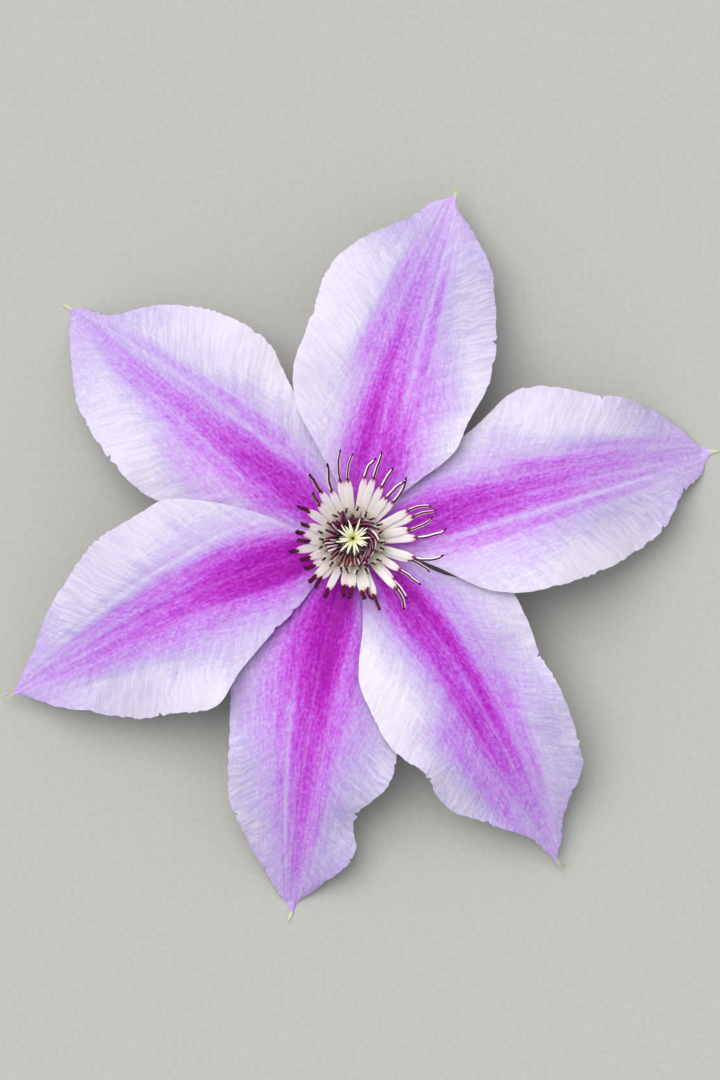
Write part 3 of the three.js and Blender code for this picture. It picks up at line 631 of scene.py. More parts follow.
def standing_anthers():
    """Dark anthers that stand round the styles and bend over outwards. On the swirl side they are longer
    and turn aside clockwise."""
    headings, made, row = whorl(STANDING, uneven=0.3, each=4)
    swirl = smooth(np.cos(headings - SWIRL_SIDE), -0.3, 0.6)
    return placed(STANDING, headings, [
        (2.9 - 0.7 * row, 88, 84, -60 * swirl, 3),
        (spread_over(3 + 2 * swirl, 1.4, made[:, 1]), 74, spread_over(8, 30, made[:, 2]),
         spread_over(-50 * swirl, 50, made[:, 3]), ANTHER_PARTS),
    ], inwards=0.45 * row)


def star_rays():
    """The styles' tips, which bend outwards as the rays of a star that stands a little off the axis."""
    headings, made, _ = whorl(STAR, uneven=0.6, each=4)
    lines, facing, headings = placed(STAR, headings, [
        (spread_over(5.2, 0.9, made[:, 2]), 85, 0, spread_over(0, 50, made[:, 3]), 16),
    ], raised=spread_over(0, 0.6, made[:, 1]))
    return lines + [0, STAR_LEAN, 0], facing, headings


def hairs(roots, directions, lengths, facing, thicknesses, own, seed):
    """Thin strands of five points: a root, plus a length times its direction by t and a small random bend
    by t squared, kept just above the floor."""
    bend = np.random.default_rng(seed).normal(0, 0.35, roots.shape)
    t = np.linspace(0, 1, 5)[None, :, None]
    travel = directions[:, None, :] * t + bend[:, None, :] * t * t
    lines = roots[:, None, :] + lengths[:, None, None] * travel
    lines[..., 2] = np.maximum(lines[..., 2], FLOOR_GAP)
    return strap_surface(lines, facing, thicknesses, thicknesses, sides=4, own=own)


def lathe(corners, parts, sides, own, seed, waver):
    """A profile of (radius, height) corners, eased, carried round the axis, its radius a little uneven."""
    radius, height = rounded(corners, parts).T[..., None]
    angle = ring_angles(sides)
    radius = radius * (1 + waver * unevenness(angle * 6 / np.pi, height / 1.5, seed))
    points = np.stack([radius * np.cos(angle), radius * np.sin(angle), height + 0 * radius], -1)
    return tubes(points[None], strand_values(own=own), {"Strand": (radius * angle, height)})


def rounded(profile, parts):
    """A profile with its corners eased: points set evenly along it and blended with their neighbours."""
    profile = np.array(profile, float)
    travel = np.concatenate([[0], np.cumsum(np.linalg.norm(np.diff(profile, axis=0), axis=1))])
    at = np.linspace(0, travel[-1], parts)
    even = np.stack([np.interp(at, travel, profile[:, 0]), np.interp(at, travel, profile[:, 1])], -1)
    for _ in range(3):
        even[1:-1] = (even[:-2] + 2 * even[1:-1] + even[2:]) / 4
    return even


def curve_through(points, parts):
    """A centripetal Catmull-Rom curve: between two points, a cubic whose slopes come from the root-spaced
    neighbours, with the end points mirrored outwards."""
    points = np.array(points, float)
    points = np.concatenate([[2 * points[0] - points[1]], points, [2 * points[-1] - points[-2]]])
    pieces = []
    t = (np.arange(parts) / parts)[:, None]
    for a, b, c, d in zip(points[:-3], points[1:-2], points[2:-1], points[3:]):
        before, here, after = (np.linalg.norm(q - p) ** 0.5 for p, q in ((a, b), (b, c), (c, d)))
        start = ((b - a) / before - (c - a) / (before + here) + (c - b) / here) * here
        finish = ((c - b) / here - (d - b) / (here + after) + (d - c) / after) * here
        pieces.append(b * (2 * t ** 3 - 3 * t ** 2 + 1) + c * (3 * t ** 2 - 2 * t ** 3)
                      + start * (t ** 3 - 2 * t ** 2 + t) + finish * (t ** 3 - t ** 2))
    return np.concatenate(pieces + [points[-2][None]])


# --- Finishes ----------------------------------------------------------------------------------------

def tint(red, green, blue):
    """A colour given in screen values from 0 to 255, as the linear values that shaders use."""
    screen = np.array([red, green, blue]) / 255
    linear = np.where(screen <= 0.04045, screen / 12.92, ((screen + 0.055) / 1.055) ** 2.4)
    return tuple(float(v) for v in linear)


def opaque(colour):
    """A colour of three parts with full cover as its fourth."""
    return (*colour[:3], 1)


class Finish:
    """A material with one Principled shader. Its methods add nodes and give back what they put out."""

    def __init__(self, name, **constants):
        self.material = bpy.data.materials.new(name)
        self.material.use_nodes = True
        self.nodes = self.material.node_tree.nodes
        self.links = self.material.node_tree.links
        self.shader = self.nodes["Principled BSDF"]
        for socket, value in constants.items():
            self.set(socket.replace("_", " "), value)

    def feed(self, socket, value):
        """Links what a node puts out, or sets a constant."""
        if isinstance(value, bpy.types.NodeSocket):
            self.links.new(value, socket)
        else:
            socket.default_value = opaque(value) if socket.type == "RGBA" else value

    def set(self, socket, value):
        self.feed(self.shader.inputs[socket], value)

    def node(self, kind, inputs, output=0, **settings):
        made = self.nodes.new(kind)
        for key, value in settings.items():
            setattr(made, key, value)
        for key, value in inputs.items():
            self.feed(made.inputs[key], value)
        return made.outputs[output]

    def value(self, name):
        """A value that the piece's points carry."""
        return self.node("ShaderNodeAttribute", {}, "Fac", attribute_name=name)

    def map(self, name):
        return self.node("ShaderNodeUVMap", {}, uv_map=name)

    def place(self):
        return self.node("ShaderNodeTexCoord", {}, "Object")

    def math(self, operation, *terms, clamp=False):
        return self.node("ShaderNodeMath", dict(enumerate(terms)), operation=operation, use_clamp=clamp)

    def product(self, first, second):
        return self.math("MULTIPLY", first, second)

    def scaled(self, value, factor, added, clamp=False):
        """The value times a factor, plus what is added."""
        return self.math("MULTIPLY_ADD", value, factor, added, clamp=clamp)

    def between(self, value, low, high, to_low=0.0, to_high=1.0):
        """A smooth step from to_low, where the value is low, to to_high, where it is high."""
        inputs = {0: value, 1: low, 2: high, 3: to_low, 4: to_high}
        return self.node("ShaderNodeMapRange", inputs, interpolation_type="SMOOTHSTEP")

    def blend(self, share, first, second, how="MIX"):
        inputs = {0: share, 6: first, 7: second}
        return self.node("ShaderNodeMix", inputs, 2, data_type="RGBA", blend_type=how)

    def tinge(self, base, colour, value, low, high, most=1.0):
        """The base, with none of the colour where the value is low and most of it where it is high."""
        return self.blend(self.between(value, low, high, 0.0, most), base, colour)

    def ramp(self, value, *stops):
        """Colours at places from 0 to 1, blended between."""
        made = self.nodes.new("ShaderNodeValToRGB")
        elements = made.color_ramp.elements
        for _ in stops[2:]:
            elements.new(0.5)
        for element, (place, colour) in zip(elements, stops):
            element.position = place
            element.color = opaque(colour)
        self.feed(made.inputs["Fac"], value)
        return made.outputs["Color"]

    def grain(self, where, scale, detail=2.0, roughness=0.55):
        """Soft noise from 0 to 1 over coordinates multiplied by scale along each axis."""
        placed = self.node("ShaderNodeMapping", {"Vector": where, "Scale": scale})
        inputs = {"Vector": placed, "Scale": 1.0, "Detail": detail, "Roughness": roughness}
        return self.node("ShaderNodeTexNoise", inputs, "Fac")

    def done(self, colour, height, distance):
        """The material, with its base colour and with relief as deep as the distance in metres."""
        self.set("Base Color", colour)
        self.set("Normal", self.node("ShaderNodeBump", {"Height": height, "Distance": distance}, "Normal"))
        return self.material


def tepal_finish(looks):
    """Bar colours by strength, unevenly spread by streaks and finer threads that fan along the blade, by
    streaks along the side veins and by fine specks. The underside is paler, with green along the ribs, and
    the thread at the tip is a pale green."""
    finish = Finish("tepal_velvet", Sheen_Weight=0.04, Sheen_Roughness=0.4, Specular_IOR_Level=0.18)
    side_streaks = finish.grain(finish.map("Veins"), (1.4, 0.22, 1), 3.0)
    fan_streaks = finish.grain(finish.map("Fan"), (0.12, 1.3, 1), 3.0, 0.65)
    threads = finish.grain(finish.map("Fan"), (0.5, 2.4, 1))
    specks = finish.grain(finish.place(), (1300, 1300, 1300), 2.0, 0.5)

    strength = finish.value("strength")
    rest = finish.math("SUBTRACT", 1.0, strength, clamp=True)
    room = finish.scaled(finish.product(strength, rest), 0.9, 0.08)
    room = finish.scaled(strength, 0.4, room)
    mixed = -1.4
    for pattern, weight in ((fan_streaks, 0.9), (threads, 0.8), (specks, 0.9), (side_streaks, 0.2)):
        mixed = finish.scaled(pattern, weight, mixed)
    bar = finish.ramp(
        finish.scaled(mixed, room, strength, clamp=True),
        (0.0, looks.margin_light), (0.1, looks.margin), (0.25, looks.blush), (0.35, looks.lilac),
        (0.46, looks.orchid), (0.58, looks.rose), (0.71, looks.magenta), (0.88, looks.deep_magenta),
        (1.0, looks.darkest_magenta))
    # Painted shade: the cool tint darkens patches, most where the bar's colour is weak.
    painted_shade = finish.product(finish.value("painted_shade"), finish.between(side_streaks, 0.3, 0.7, 0.5, 1.0))
    painted_shade = finish.product(painted_shade, finish.scaled(rest, 0.6, 0.2))
    bar_with_painted_shade = finish.blend(painted_shade, bar, looks.cool_shade, "MULTIPLY")
    pale = finish.value("pale")
    lined = finish.product(pale, finish.between(fan_streaks, 0.35, 0.65, 0.3, 1.0))
    upper = finish.blend(lined, bar_with_painted_shade, looks.vein)

    under = finish.tinge(looks.underside, looks.underbar, strength, 0.1, 1.0, 0.75)
    under = finish.tinge(under, looks.rib, pale, 0.05, 0.35)
    under = finish.tinge(under, looks.margin_light, side_streaks, 0.4, 0.7, 0.25)
    both = finish.blend(finish.value("under"), upper, under)
    finish.set("Roughness", finish.between(specks, 0.3, 0.7, 0.46, 0.64))
    colour = finish.blend(finish.value("thread"), both, looks.thread)
    return finish.done(colour, finish.scaled(specks, 0.5, side_streaks), 0.08 * MM)


def filament_finish(looks):
    """Near-white cream, buff at the foot and pink at the end, with a root painted dark as shade between the
    anthers and a dark joint. Painted grey shade along the edges and faint lengthwise streaks set
    neighbours apart."""
    finish = Finish("filament_cream", Roughness=0.45, Subsurface_Weight=0.5, Subsurface_Scale=3 * MM)
    finish.set("Subsurface Radius", (1.0, 1.0, 0.8))
    streaks = finish.grain(finish.map("Strand"), (4.0, 0.25, 1), 3.0)
    # The root is painted dark: shade that falls between the anthers.
    colour = finish.ramp(
        finish.value("run"),
        (0.0, looks.painted_root_shade), (0.12, looks.painted_root_shade), (0.26, looks.filament_foot),
        (0.42, looks.filament), (0.82, looks.filament), (0.93, looks.filament_end), (0.985, looks.joint))
    aside = finish.math("ABSOLUTE", finish.value("edge"))
    # Painted shade: grey along each filament's edges, where neighbours meet.
    colour = finish.tinge(colour, looks.filament_edge_shade_and_streak, aside, 0.9, 1.0, 0.7)
    colour = finish.tinge(colour, looks.filament_edge_shade_and_streak, streaks, 0.45, 0.8, 0.08)
    return finish.done(colour, streaks, 0.05 * MM)


def anther_finish(looks):
    """Dark maroon, rusty where warm, with pale lines along both edges where the pollen sacs open, bright on
    one side and weaker on the other, and a near-black tip."""
    finish = Finish("anther_maroon", Roughness=0.42, Specular_IOR_Level=0.2)
    grain = finish.grain(finish.map("Strand"), (5.0, 2.5, 1), 3.0)
    body = finish.tinge(looks.anther, looks.anther_red, grain, 0.35, 0.65)
    body = finish.blend(finish.value("warm"), body, looks.anther_rust)
    run = finish.value("run")
    edge = finish.value("edge")
    bright, weak = finish.between(edge, 0.3, 0.5), finish.between(edge, -0.85, -0.7, 0.6, 0.0)
    line = finish.product(finish.math("MAXIMUM", bright, weak), finish.value("own"))
    line = finish.product(line, finish.between(run, 0.86, 0.93, 1.0, 0.0))
    line = finish.product(line, finish.between(run, 0.06, 0.16))
    lined = finish.blend(line, body, looks.anther_edge)
    return finish.done(finish.tinge(lined, looks.anther_tip, run, 0.9, 0.96), grain, 0.04 * MM)


def style_finish(looks):
    """Painted dark shade inside the bundle, yellow-green where the styles part, cream further out, pinkish
    white tips, and painted shade in yellow-green along the styles' edges.
    """
    finish = Finish("style_cream", Roughness=0.45, Subsurface_Weight=0.1, Subsurface_Scale=1 * MM)
    streaks = finish.grain(finish.map("Strand"), (5.0, 0.4, 1), 3.0)
    # The foot is painted dark: shade inside the bundle.
    colour = finish.ramp(
        finish.value("run"),
        (0.0, looks.style_foot_shade), (0.33, looks.style_foot_shade), (0.42, looks.style_green_and_edge_shade),
        (0.54, looks.style_green_and_edge_shade), (0.7, looks.style), (0.88, looks.style), (1.0, looks.style_tip))
    aside = finish.math("ABSOLUTE", finish.value("edge"))
    # Painted shade: yellow-green darkening along each style's edges.
    colour = finish.tinge(colour, looks.style_green_and_edge_shade, aside, 0.7, 1.0, 0.4)
    colour = finish.tinge(colour, looks.style_green_and_edge_shade, streaks, 0.4, 0.8, 0.25)
    return finish.done(colour, streaks, 0.05 * MM)


def stalk_finish(looks):
    """Two greens in fine specks, with lengthwise purple streaks and pale hairs."""
    finish = Finish("stalk_green", Roughness=0.5, Subsurface_Weight=0.08, Subsurface_Scale=1 * MM)
    streaks = finish.grain(finish.map("Strand"), (2.0, 0.12, 1), 3.0)
    specks = finish.grain(finish.place(), (1800, 1800, 1800))
    colour = finish.tinge(looks.stalk, looks.stalk_light, specks, 0.3, 0.7)
    colour = finish.tinge(colour, looks.stalk_purple, streaks, 0.45, 0.75, 0.7)
    colour = finish.tinge(colour, looks.stalk_hair, finish.value("own"), 0.9, 1.0)
    return finish.done(colour, finish.scaled(specks, 0.4, streaks), 0.1 * MM)


# --- Settings ----------------------------------------------------------------------------------------

def colour_setting(name, description, red, green, blue):
    return bpy.props.FloatVectorProperty(
        name=name, description=description, default=tint(red, green, blue), size=3, min=0, max=1,
        subtype="COLOR")


def size_setting(name, description, millimetres):
    return bpy.props.FloatProperty(
        name=name, description=description, default=millimetres * MM, min=0, unit="LENGTH")


def number_setting(name, description, value):
    return bpy.props.FloatProperty(name=name, description=description, default=value, min=0)


def count_setting(name, description, value, least):
    return bpy.props.IntProperty(name=name, description=description, default=value, min=least)


def group_setting(kind, name, description):
    return bpy.props.PointerProperty(type=kind, name=name, description=description)


class TepalSettings(bpy.types.PropertyGroup):
    rows: count_setting("Rows", "Cells along a tepal", 320, 20)
    columns: count_setting("Columns", "Cells across a tepal", 112, 8)
    thickness: size_setting("Thickness", "A blade's thickness along its middle", 0.38)
    tooth_depth: size_setting("Tooth depth", "Depth of the small teeth along the margins", 0.7)
    vein_bend: number_setting("Vein bend", "How much the side veins bend outwards", 4.6)
    margin_light: colour_setting("Light margin", "Palest parts of the margins", 233, 226, 238)
    margin: colour_setting("Margin", "Usual colour of the margins", 212, 200, 231)
    blush: colour_setting("Blush", "Where the bar's colour begins", 203, 172, 230)
    lilac: colour_setting("Lilac", "Weak parts of the bar", 200, 148, 228)
    orchid: colour_setting("Orchid", "Middling parts of the bar", 196, 122, 224)
    rose: colour_setting("Rose", "Stronger parts of the bar", 191, 92, 216)
    magenta: colour_setting("Magenta", "Strong parts of the bar", 185, 61, 201)
    deep_magenta: colour_setting("Deep magenta", "Strongest parts of the bar", 170, 20, 178)
    darkest_magenta: colour_setting("Darkest magenta", "Dark mottling of the strongest parts", 154, 2, 158)
    # The cool shade is painted shade, laid over patches of the blades.
    cool_shade: colour_setting("Cool shade", "Tint over patches of the margins", 192, 187, 224)
    vein: colour_setting("Vein", "Pale lines of the lengthwise veins", 215, 181, 229)
    underside: colour_setting("Underside", "Back of the blade", 207, 196, 220)
    underbar: colour_setting("Underside bar", "Bar on the back of the blade", 181, 130, 185)
    rib: colour_setting("Rib", "Ribs on the back of the blade", 176, 181, 139)
    thread: colour_setting("Thread", "Thread at a tepal's tip", 200, 204, 172)


class StamenSettings(bpy.types.PropertyGroup):
    filament: colour_setting("Filament", "Middle of a filament", 253, 250, 234)
    # The root colour is painted shade, where the filaments' feet lie between the anthers.
    painted_root_shade: colour_setting("Filament root", "Root of a filament, between the anthers", 92, 36, 46)
    filament_foot: colour_setting("Filament foot", "Lower part of a filament", 244, 232, 192)
    filament_end: colour_setting("Filament end", "Filament just before its anther", 248, 218, 208)
    # The edge colour is painted shade along the filaments' edges and also tints their streaks.
    filament_edge_shade_and_streak: colour_setting("Filament edge", "Edges and streaks of a filament", 184, 170, 168)
    joint: colour_setting("Joint", "Where a filament meets its anther", 108, 16, 62)
    anther: colour_setting("Anther", "Dark maroon of an anther", 66, 8, 40)
    anther_red: colour_setting("Anther red", "Redder parts of an anther", 108, 12, 60)
    anther_rust: colour_setting("Anther rust", "Rusty anthers below the star", 112, 48, 36)
    anther_edge: colour_setting("Anther edge", "Pale line where an anther opens", 255, 248, 252)
    anther_tip: colour_setting("Anther tip", "Tip of an anther", 30, 10, 26)


class StyleSettings(bpy.types.PropertyGroup):
    style: colour_setting("Style", "Outer part of a style", 244, 241, 214)
    # Style green also serves as painted shade along the styles' edges.
    style_green_and_edge_shade: colour_setting("Style green", "Where the styles part", 214, 216, 128)
    # The style foot is painted shade inside the bundle of styles.
    style_foot_shade: colour_setting("Style foot", "Inside the bundle of styles", 70, 62, 30)
    style_tip: colour_setting("Style tip", "Tip of a style", 246, 238, 236)


class StalkSettings(bpy.types.PropertyGroup):
    stalk: colour_setting("Stalk", "Green of the stalk", 96, 126, 52)
    stalk_light: colour_setting("Light stalk", "Lighter green of the stalk", 124, 150, 72)
    stalk_purple: colour_setting("Purple", "Purple streaks on the stalk", 104, 78, 68)
    stalk_hair: colour_setting("Hair", "Fine hairs of the stalk", 205, 209, 185)


class StageSettings(bpy.types.PropertyGroup):
    floor: colour_setting("Floor", "Colour of the floor", 181, 181, 176)
    sky: number_setting("Fill", "Strength of the even light from all round", 0.62)
    key: number_setting("Key", "Strength of the large soft light", 2.2)
    key_angle: bpy.props.FloatProperty(
        name="Key size", description="How wide the soft light looks", default=0.9, min=0, subtype="ANGLE")
    lens: number_setting("Lens", "Focal length in millimetres", 150.0)


class BloomSettings(bpy.types.PropertyGroup):
    tepals: group_setting(TepalSettings, "Tepals", "Sizes and colours of the tepals")
    stamens: group_setting(StamenSettings, "Stamens", "Colours of the stamens")
    styles: group_setting(StyleSettings, "Styles", "Colours of the styles")
    stalk: group_setting(StalkSettings, "Stalk", "Colours of the stalk")
    stage: group_setting(StageSettings, "Stage", "Floor, light and camera")


# --- Operators ---------------------------------------------------------------------------------------

class CLEMATIS_OT_tepals(bpy.types.Operator):
    """Make the six tepals"""
    bl_idname = "clematis.tepals"
    bl_label = "Tepals"

    def execute(self, context):
        looks = context.scene.clematis.tepals
        material = tepal_finish(looks)
        for tepal in TEPALS:
            name = tepal["name"]
            make_piece(f"{name}_blade", tepal_surface(tepal, looks), material, "tepal", name)
        return {"FINISHED"}


class CLEMATIS_OT_outer_stamens(bpy.types.Operator):
    """Make the outer ring of stamens, which lie open"""
    bl_idname = "clematis.outer_stamens"
    bl_label = "Outer stamens"

    def execute(self, context):
        looks = context.scene.clematis.stamens
        lines, facing, headings = spread_stamens()
        count = SPREAD["count"]
        own = own_numbers(count, seed=5)
        run = np.linspace(0, 1, FILAMENT_PARTS + 1)
        widths = np.interp(run, [0, 0.15, 0.4, 0.8, 0.93, 1], [0.9, 1.45, 1.85, 1.85, 1.35, 0.75])
        widths = widths * (0.92 + 0.16 * own[:, None])
        depths = np.interp(run, [0, 0.5, 1], [0.5, 0.46, 0.45])
        filaments = strap_surface(
            lines[:, FILAMENT], facing[:, FILAMENT], widths, depths, sides=14, own=own, hollow=0.4)
        surface = together(filaments, round_band(2.3, 3.5))
        make_piece("outer_filaments", surface, filament_finish(looks), "filament", "stamens_spread")

        # Anthers are kinked: each wavers a little as it runs out.
        run = np.linspace(0, 1, ANTHER_PARTS + 2)
        closed = 1 - openness(headings)[:, None]
        widths = np.interp(run, [0, 0.1, 0.8, 0.94, 1], [0.6, 0.74, 0.66, 0.48, 0.2]) + 0.3 * closed
        depths = np.interp(run, [0, 0.1, 0.8, 0.94, 1], [0.4, 0.44, 0.4, 0.4, 0.2]) + 0.1 * closed
        kinks = np.stack([unevenness(run * 5 + 9 * k, 0.5, seed=31) for k in range(3 * count)])
        kinks = 0.3 * run[:, None] * kinks.reshape(count, 3, -1).transpose(0, 2, 1)
        side = np.where(own_numbers(count, seed=6) < 0.5, -1.0, 1.0)
        roll = (side * (0.2 + 0.5 * own))[:, None]
        surface = strap_surface(
            lines[:, ANTHER] + kinks, facing[:, ANTHER], widths, depths, sides=12,
            own=1 - closed[:, 0], roll=roll, waist=0.3)
        make_piece("outer_anthers", surface, anther_finish(looks), "anther", "stamens_spread")
        return {"FINISHED"}


class CLEMATIS_OT_inner_stamens(bpy.types.Operator):
    """Make the inner ring of stamens, which stand round the styles"""
    bl_idname = "clematis.inner_stamens"
    bl_label = "Inner stamens"

    def execute(self, context):
        looks = context.scene.clematis.stamens
        lines, facing, _ = leaning_stamens()
        own = own_numbers(LEANING["count"], seed=7)
        run = np.linspace(0, 1, FILAMENT_PARTS + 1)
        widths = np.interp(run, [0, 0.3, 0.75, 0.92, 1], [0.8, 1.2, 1.25, 0.9, 0.5])
        filaments = strap_surface(
            lines[:, FILAMENT], facing[:, FILAMENT], widths, depths=0.42, sides=12, own=own, hollow=0.4)
        surface = together(filaments, round_band(3.8, 4.9))
        make_piece("inner_filaments", surface, filament_finish(looks), "filament", "stamens_erect")

        run = np.linspace(0, 1, ANTHER_PARTS + 2)
        widths = np.interp(run, [0, 0.1, 0.55, 0.85, 1], [0.46, 0.4, 0.34, 0.6, 0.3])
        curled = strap_surface(
            lines[:, ANTHER], facing[:, ANTHER], widths, 0.7 * widths, sides=12, own=0.4 * own,
            roll=(own[:, None] - 0.5) * 1.2, waist=0.3)
        curled.values["run"] = np.minimum(1.4 * curled.values["run"], 1)

        # Rusty anthers stand below the star, and broad ones above it.
        lines, facing, headings = standing_anthers()
        own = own_numbers(STANDING["count"], seed=8)
        run = np.linspace(0, 1, lines.shape[1])
        rusty, broad = towards(headings, RUSTY_SIDE, 0.4), towards(headings, BROAD_SIDE, 0.6)
        widths = np.interp(run, [0, 0.2, 0.6, 0.85, 1], [0.8, 1.1, 1.15, 0.88, 0.2])
        widths = widths * (1 + 0.3 * broad[:, None])
        depths = np.interp(run, [0, 0.2, 0.8, 1], [0.45, 0.5, 0.42, 0.2])
        standing = strap_surface(
            lines, facing, widths, depths, sides=12, own=(0.35 + 0.6 * own) * (1 - 0.8 * broad),
            warm=rusty, roll=(own[:, None] - 0.5) * 1.3, waist=0.45)
        surface = together(curled, standing)
        make_piece("inner_anthers", surface, anther_finish(looks), "anther", "stamens_erect")
        return {"FINISHED"}


class CLEMATIS_OT_styles(bpy.types.Operator):
    """Make the head of styles, whose tips spread into a star"""
    bl_idname = "clematis.styles"
    bl_label = "Styles"

    def execute(self, context):
        looks = context.scene.clematis.styles
        rays, facing, headings = star_rays()
        count = STAR["count"]
        reach = np.linspace(0, 1, rays.shape[1])[None, :, None]
        ray_draws = np.random.default_rng(18)
        bends = ray_draws.uniform(-1, 1, (count, 1, 3))
        lengths = ray_draws.uniform(0.66, 1.04, (count, 1, 1))
        rays = rays[:, :1] + (rays - rays[:, :1]) * lengths + 0.7 * reach * reach * bends
        base_radius, low = STAR_BASE["radius"], STAR_BASE["up"]
        stem_parts = 9
        t = np.arange(stem_parts)[None, :, None] / stem_parts
        base = turned(np.array([[[base_radius, 0, low]]] * count), headings)
        lines = np.concatenate([base * (1 - t) + rays[:, :1] * t, rays], axis=1)
        facing = np.concatenate([np.repeat(headings[:, None], stem_parts, axis=1), facing], axis=1)
        run = np.linspace(0, 1, lines.shape[1])
        widths = np.interp(run, [0, 0.34, 0.5, 0.65, 0.85, 1], [0.6, 0.36, 0.4, 0.54, 0.46, 0.16])
        depths = np.interp(run, [0, 0.34, 0.6, 0.9, 1], [0.6, 0.4, 0.5, 0.36, 0.15])
        own = own_numbers(count, seed=9)
        star = strap_surface(lines, facing, widths, depths, sides=12, own=own, hollow=0.3)
        corners = [(0.05, low), (base_radius, low), (2.3, low + 0.8), (1.3, low + 2.6), (0.05, low + 3)]
        core = lathe(corners, parts=24, sides=24, own=0.5, seed=3, waver=0.08)

        hair_draws = np.random.default_rng(10)
        count = 180
        angle, level = hair_draws.uniform(0, 2 * np.pi, count), hair_draws.uniform(0, 1, count)
        radius = 2.4 - 1.4 * level
        roots = np.stack([radius * np.cos(angle), radius * np.sin(angle), low + 0.6 + 2.4 * level], -1)
        outward = np.stack([np.cos(angle) * 0.5, np.sin(angle) * 0.5, 0.85 + 0 * angle], -1)
        lengths = hair_draws.uniform(0.9, 1.6, count)
        thin = [0.07, 0.06, 0.05, 0.04, 0.02]
        fluff = hairs(roots, outward, lengths, angle[:, None], thin, own=0.5, seed=12)
        fluff.values["run"] = np.ones(len(fluff.points))
        make_piece("styles", together(star, core, fluff), style_finish(looks), "style", "pistils")
        return {"FINISHED"}


class CLEMATIS_OT_stalk(bpy.types.Operator):
    """Make the receptacle and the short stalk under the bloom"""
    bl_idname = "clematis.stalk"
    bl_label = "Stalk"

    def execute(self, context):
        looks = context.scene.clematis.stalk
        top, low = ATTACH_HEIGHT, STALK_RADIUS + 0.5
        route = [
            (0, top - 1.5), (1.2, top - 4.6), (7, top - 7.8), (18, low + 0.5), (32, low),
            (STALK_REACH, low + 0.2),
        ]
        out, up = curve_through(route, parts=26).T
        line = np.stack([out * np.cos(STALK_HEADING), out * np.sin(STALK_HEADING), up], -1)
        rings, sides = len(line), 48
        run = np.linspace(0, 1, rings)
        swollen = 1 + 0.16 * bell(run, 0, 0.06) + 0.04 * unevenness(run * 14, 0.5, seed=14)
        thickness = 2 * STALK_RADIUS * swollen
        stem = strap_surface(line[None], STALK_HEADING, thickness, thickness, sides, own=0.0)
        ridges, ridge_depth, stem_length = 6, 0.045, 52
        centre = np.repeat(line, sides, axis=0)
        angle = np.tile(ring_angles(sides), rings)
        ridged = 1 - ridge_depth * (1 - np.cos(ridges * angle))
        stem.points = centre + (stem.points - centre) * ridged[:, None]
        stem.maps["Strand"] = np.stack([STALK_RADIUS * angle, np.repeat(run * stem_length, sides)], -1)
        corners = [
            (0.05, top - 3.4), (STALK_RADIUS * 1.3, top - 3.4), (RECEPTACLE_RADIUS, top - 0.9),
            (RECEPTACLE_RADIUS, top + 1.2), (NECK_RADIUS, top + 1.9), (NECK_RADIUS, top + NECK_TOP - 0.4),
            (NECK_RADIUS - 0.4, top + NECK_TOP), (0.05, top + NECK_TOP),
        ]
        head = lathe(corners, parts=44, sides=48, own=0.0, seed=15, waver=0.03)

        hair_draws = np.random.default_rng(16)
        count = 700
        at = hair_draws.integers(10, rings - 3, count)
        ahead = line[at + 1] - line[at - 1]
        ahead /= np.linalg.norm(ahead, axis=1, keepdims=True)
        sideways = np.array([-np.sin(STALK_HEADING), np.cos(STALK_HEADING), 0.0])
        around = hair_draws.uniform(0, 2 * np.pi, count)[:, None]
        outward = np.cos(around) * sideways + np.sin(around) * np.cross(ahead, sideways)
        roots = line[at] + outward * STALK_RADIUS * 0.9
        lengths = hair_draws.uniform(0.35, 0.7, count)
        thin = [0.05, 0.045, 0.04, 0.03, 0.015]
        down = hairs(roots, outward + 0.3 * ahead, lengths, around, thin, own=1.0, seed=17)
        make_piece("stalk", together(stem, head, down), stalk_finish(looks), "stalk", "flower_stalk")
        return {"FINISHED"}


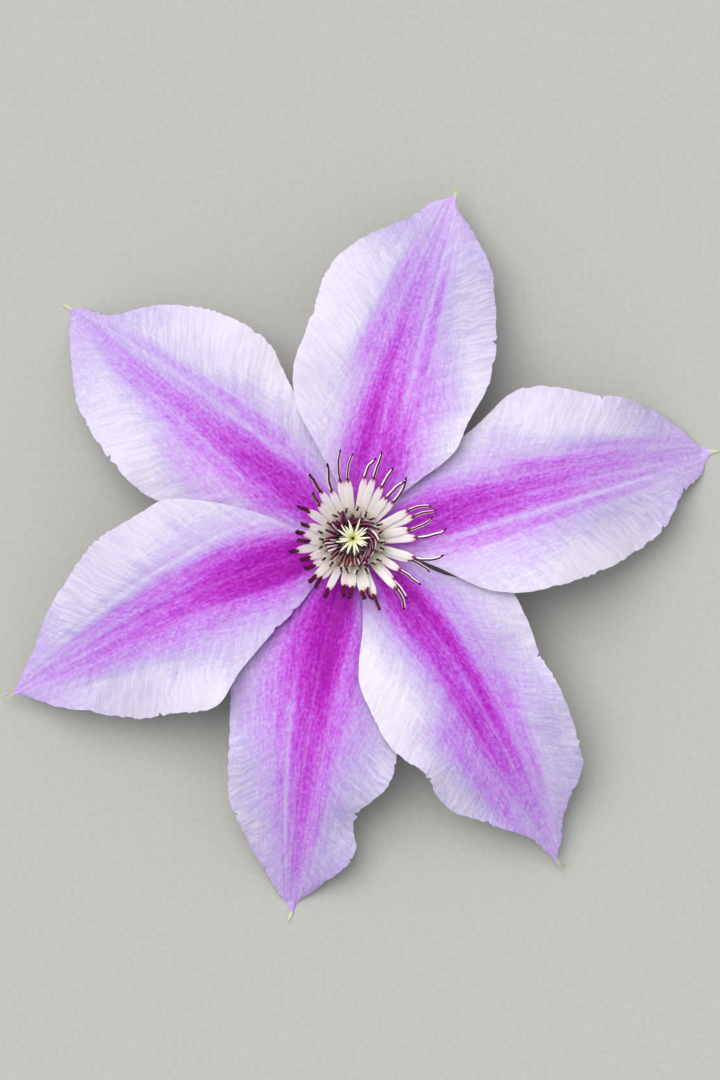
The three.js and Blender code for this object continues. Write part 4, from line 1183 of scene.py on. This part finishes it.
class CLEMATIS_OT_stage(bpy.types.Operator):
    """Make the floor, the light and the camera that looks straight down"""
    bl_idname = "clematis.stage"
    bl_label = "Stage"

    def execute(self, context):
        scene = context.scene
        looks = scene.clematis.stage
        half, level = 1.5, -0.02 * MM
        mesh = bpy.data.meshes.new("floor")
        corners = [(-half, -half, level), (half, -half, level), (half, half, level), (-half, half, level)]
        mesh.from_pydata(corners, [], [(0, 1, 2, 3)])
        paper = Finish("floor_paper", Roughness=0.9, Specular_IOR_Level=0.1)
        grain = paper.grain(paper.place(), (900, 900, 900), 3.0)
        lighter = [min(1, 1.06 * v) for v in looks.floor]
        colour = paper.tinge(looks.floor, lighter, grain, 0.3, 0.7)
        mesh.materials.append(paper.done(colour, grain, 0.03 * MM))
        floor = in_scene("floor", mesh)

        world = bpy.data.worlds.new("soft_studio")
        world.use_nodes = True
        background = world.node_tree.nodes["Background"]
        background.inputs["Color"].default_value = (0.96, 0.98, 1.0, 1)
        background.inputs["Strength"].default_value = looks.sky
        scene.world = world

        light = bpy.data.lights.new("key", "SUN")
        light.energy = looks.key
        light.angle = looks.key_angle
        light.color = (1.0, 0.985, 0.96)
        in_scene("key", light).rotation_euler = (-0.42, -0.36, 0.0)

        # The camera stands where the picture's long side spans the frame's height at the bloom's level.
        camera = bpy.data.cameras.new("camera")
        camera.lens = looks.lens
        frame_height, long_side = 230.4, 36.0
        aim_x, aim_y, aim_z = -0.5, 3.3, 12
        distance = looks.lens * frame_height / long_side
        scene.camera = in_scene("camera", camera)
        scene.camera.location = (aim_x * MM, aim_y * MM, (aim_z + distance) * MM)
        scene.view_settings.view_transform = "Standard"
        return {"FINISHED"}


class CLEMATIS_PT_bloom(bpy.types.Panel):
    """Lists what makes the bloom"""
    bl_label = "Clematis bloom"
    bl_space_type = "VIEW_3D"
    bl_region_type = "UI"
    bl_category = "Clematis"

    def draw(self, context):
        for operator in OPERATORS:
            self.layout.operator(operator.bl_idname)


OPERATORS = [
    CLEMATIS_OT_stage, CLEMATIS_OT_stalk, CLEMATIS_OT_tepals,
    CLEMATIS_OT_outer_stamens, CLEMATIS_OT_inner_stamens, CLEMATIS_OT_styles,
]
CLASSES = [
    TepalSettings, StamenSettings, StyleSettings, StalkSettings, StageSettings, BloomSettings,
    *OPERATORS, CLEMATIS_PT_bloom,
]


def register():
    for item in CLASSES:
        bpy.utils.register_class(item)
    bpy.types.Scene.clematis = group_setting(BloomSettings, "Clematis", "Sizes and colours of the bloom")


def unregister():
    del bpy.types.Scene.clematis
    for item in reversed(CLASSES):
        bpy.utils.unregister_class(item)


def main():
    register()
    bpy.ops.clematis.stage()
    bpy.ops.clematis.stalk()
    bpy.ops.clematis.tepals()
    bpy.ops.clematis.outer_stamens()
    bpy.ops.clematis.inner_stamens()
    bpy.ops.clematis.styles()


if __name__ == "__main__":
    main()
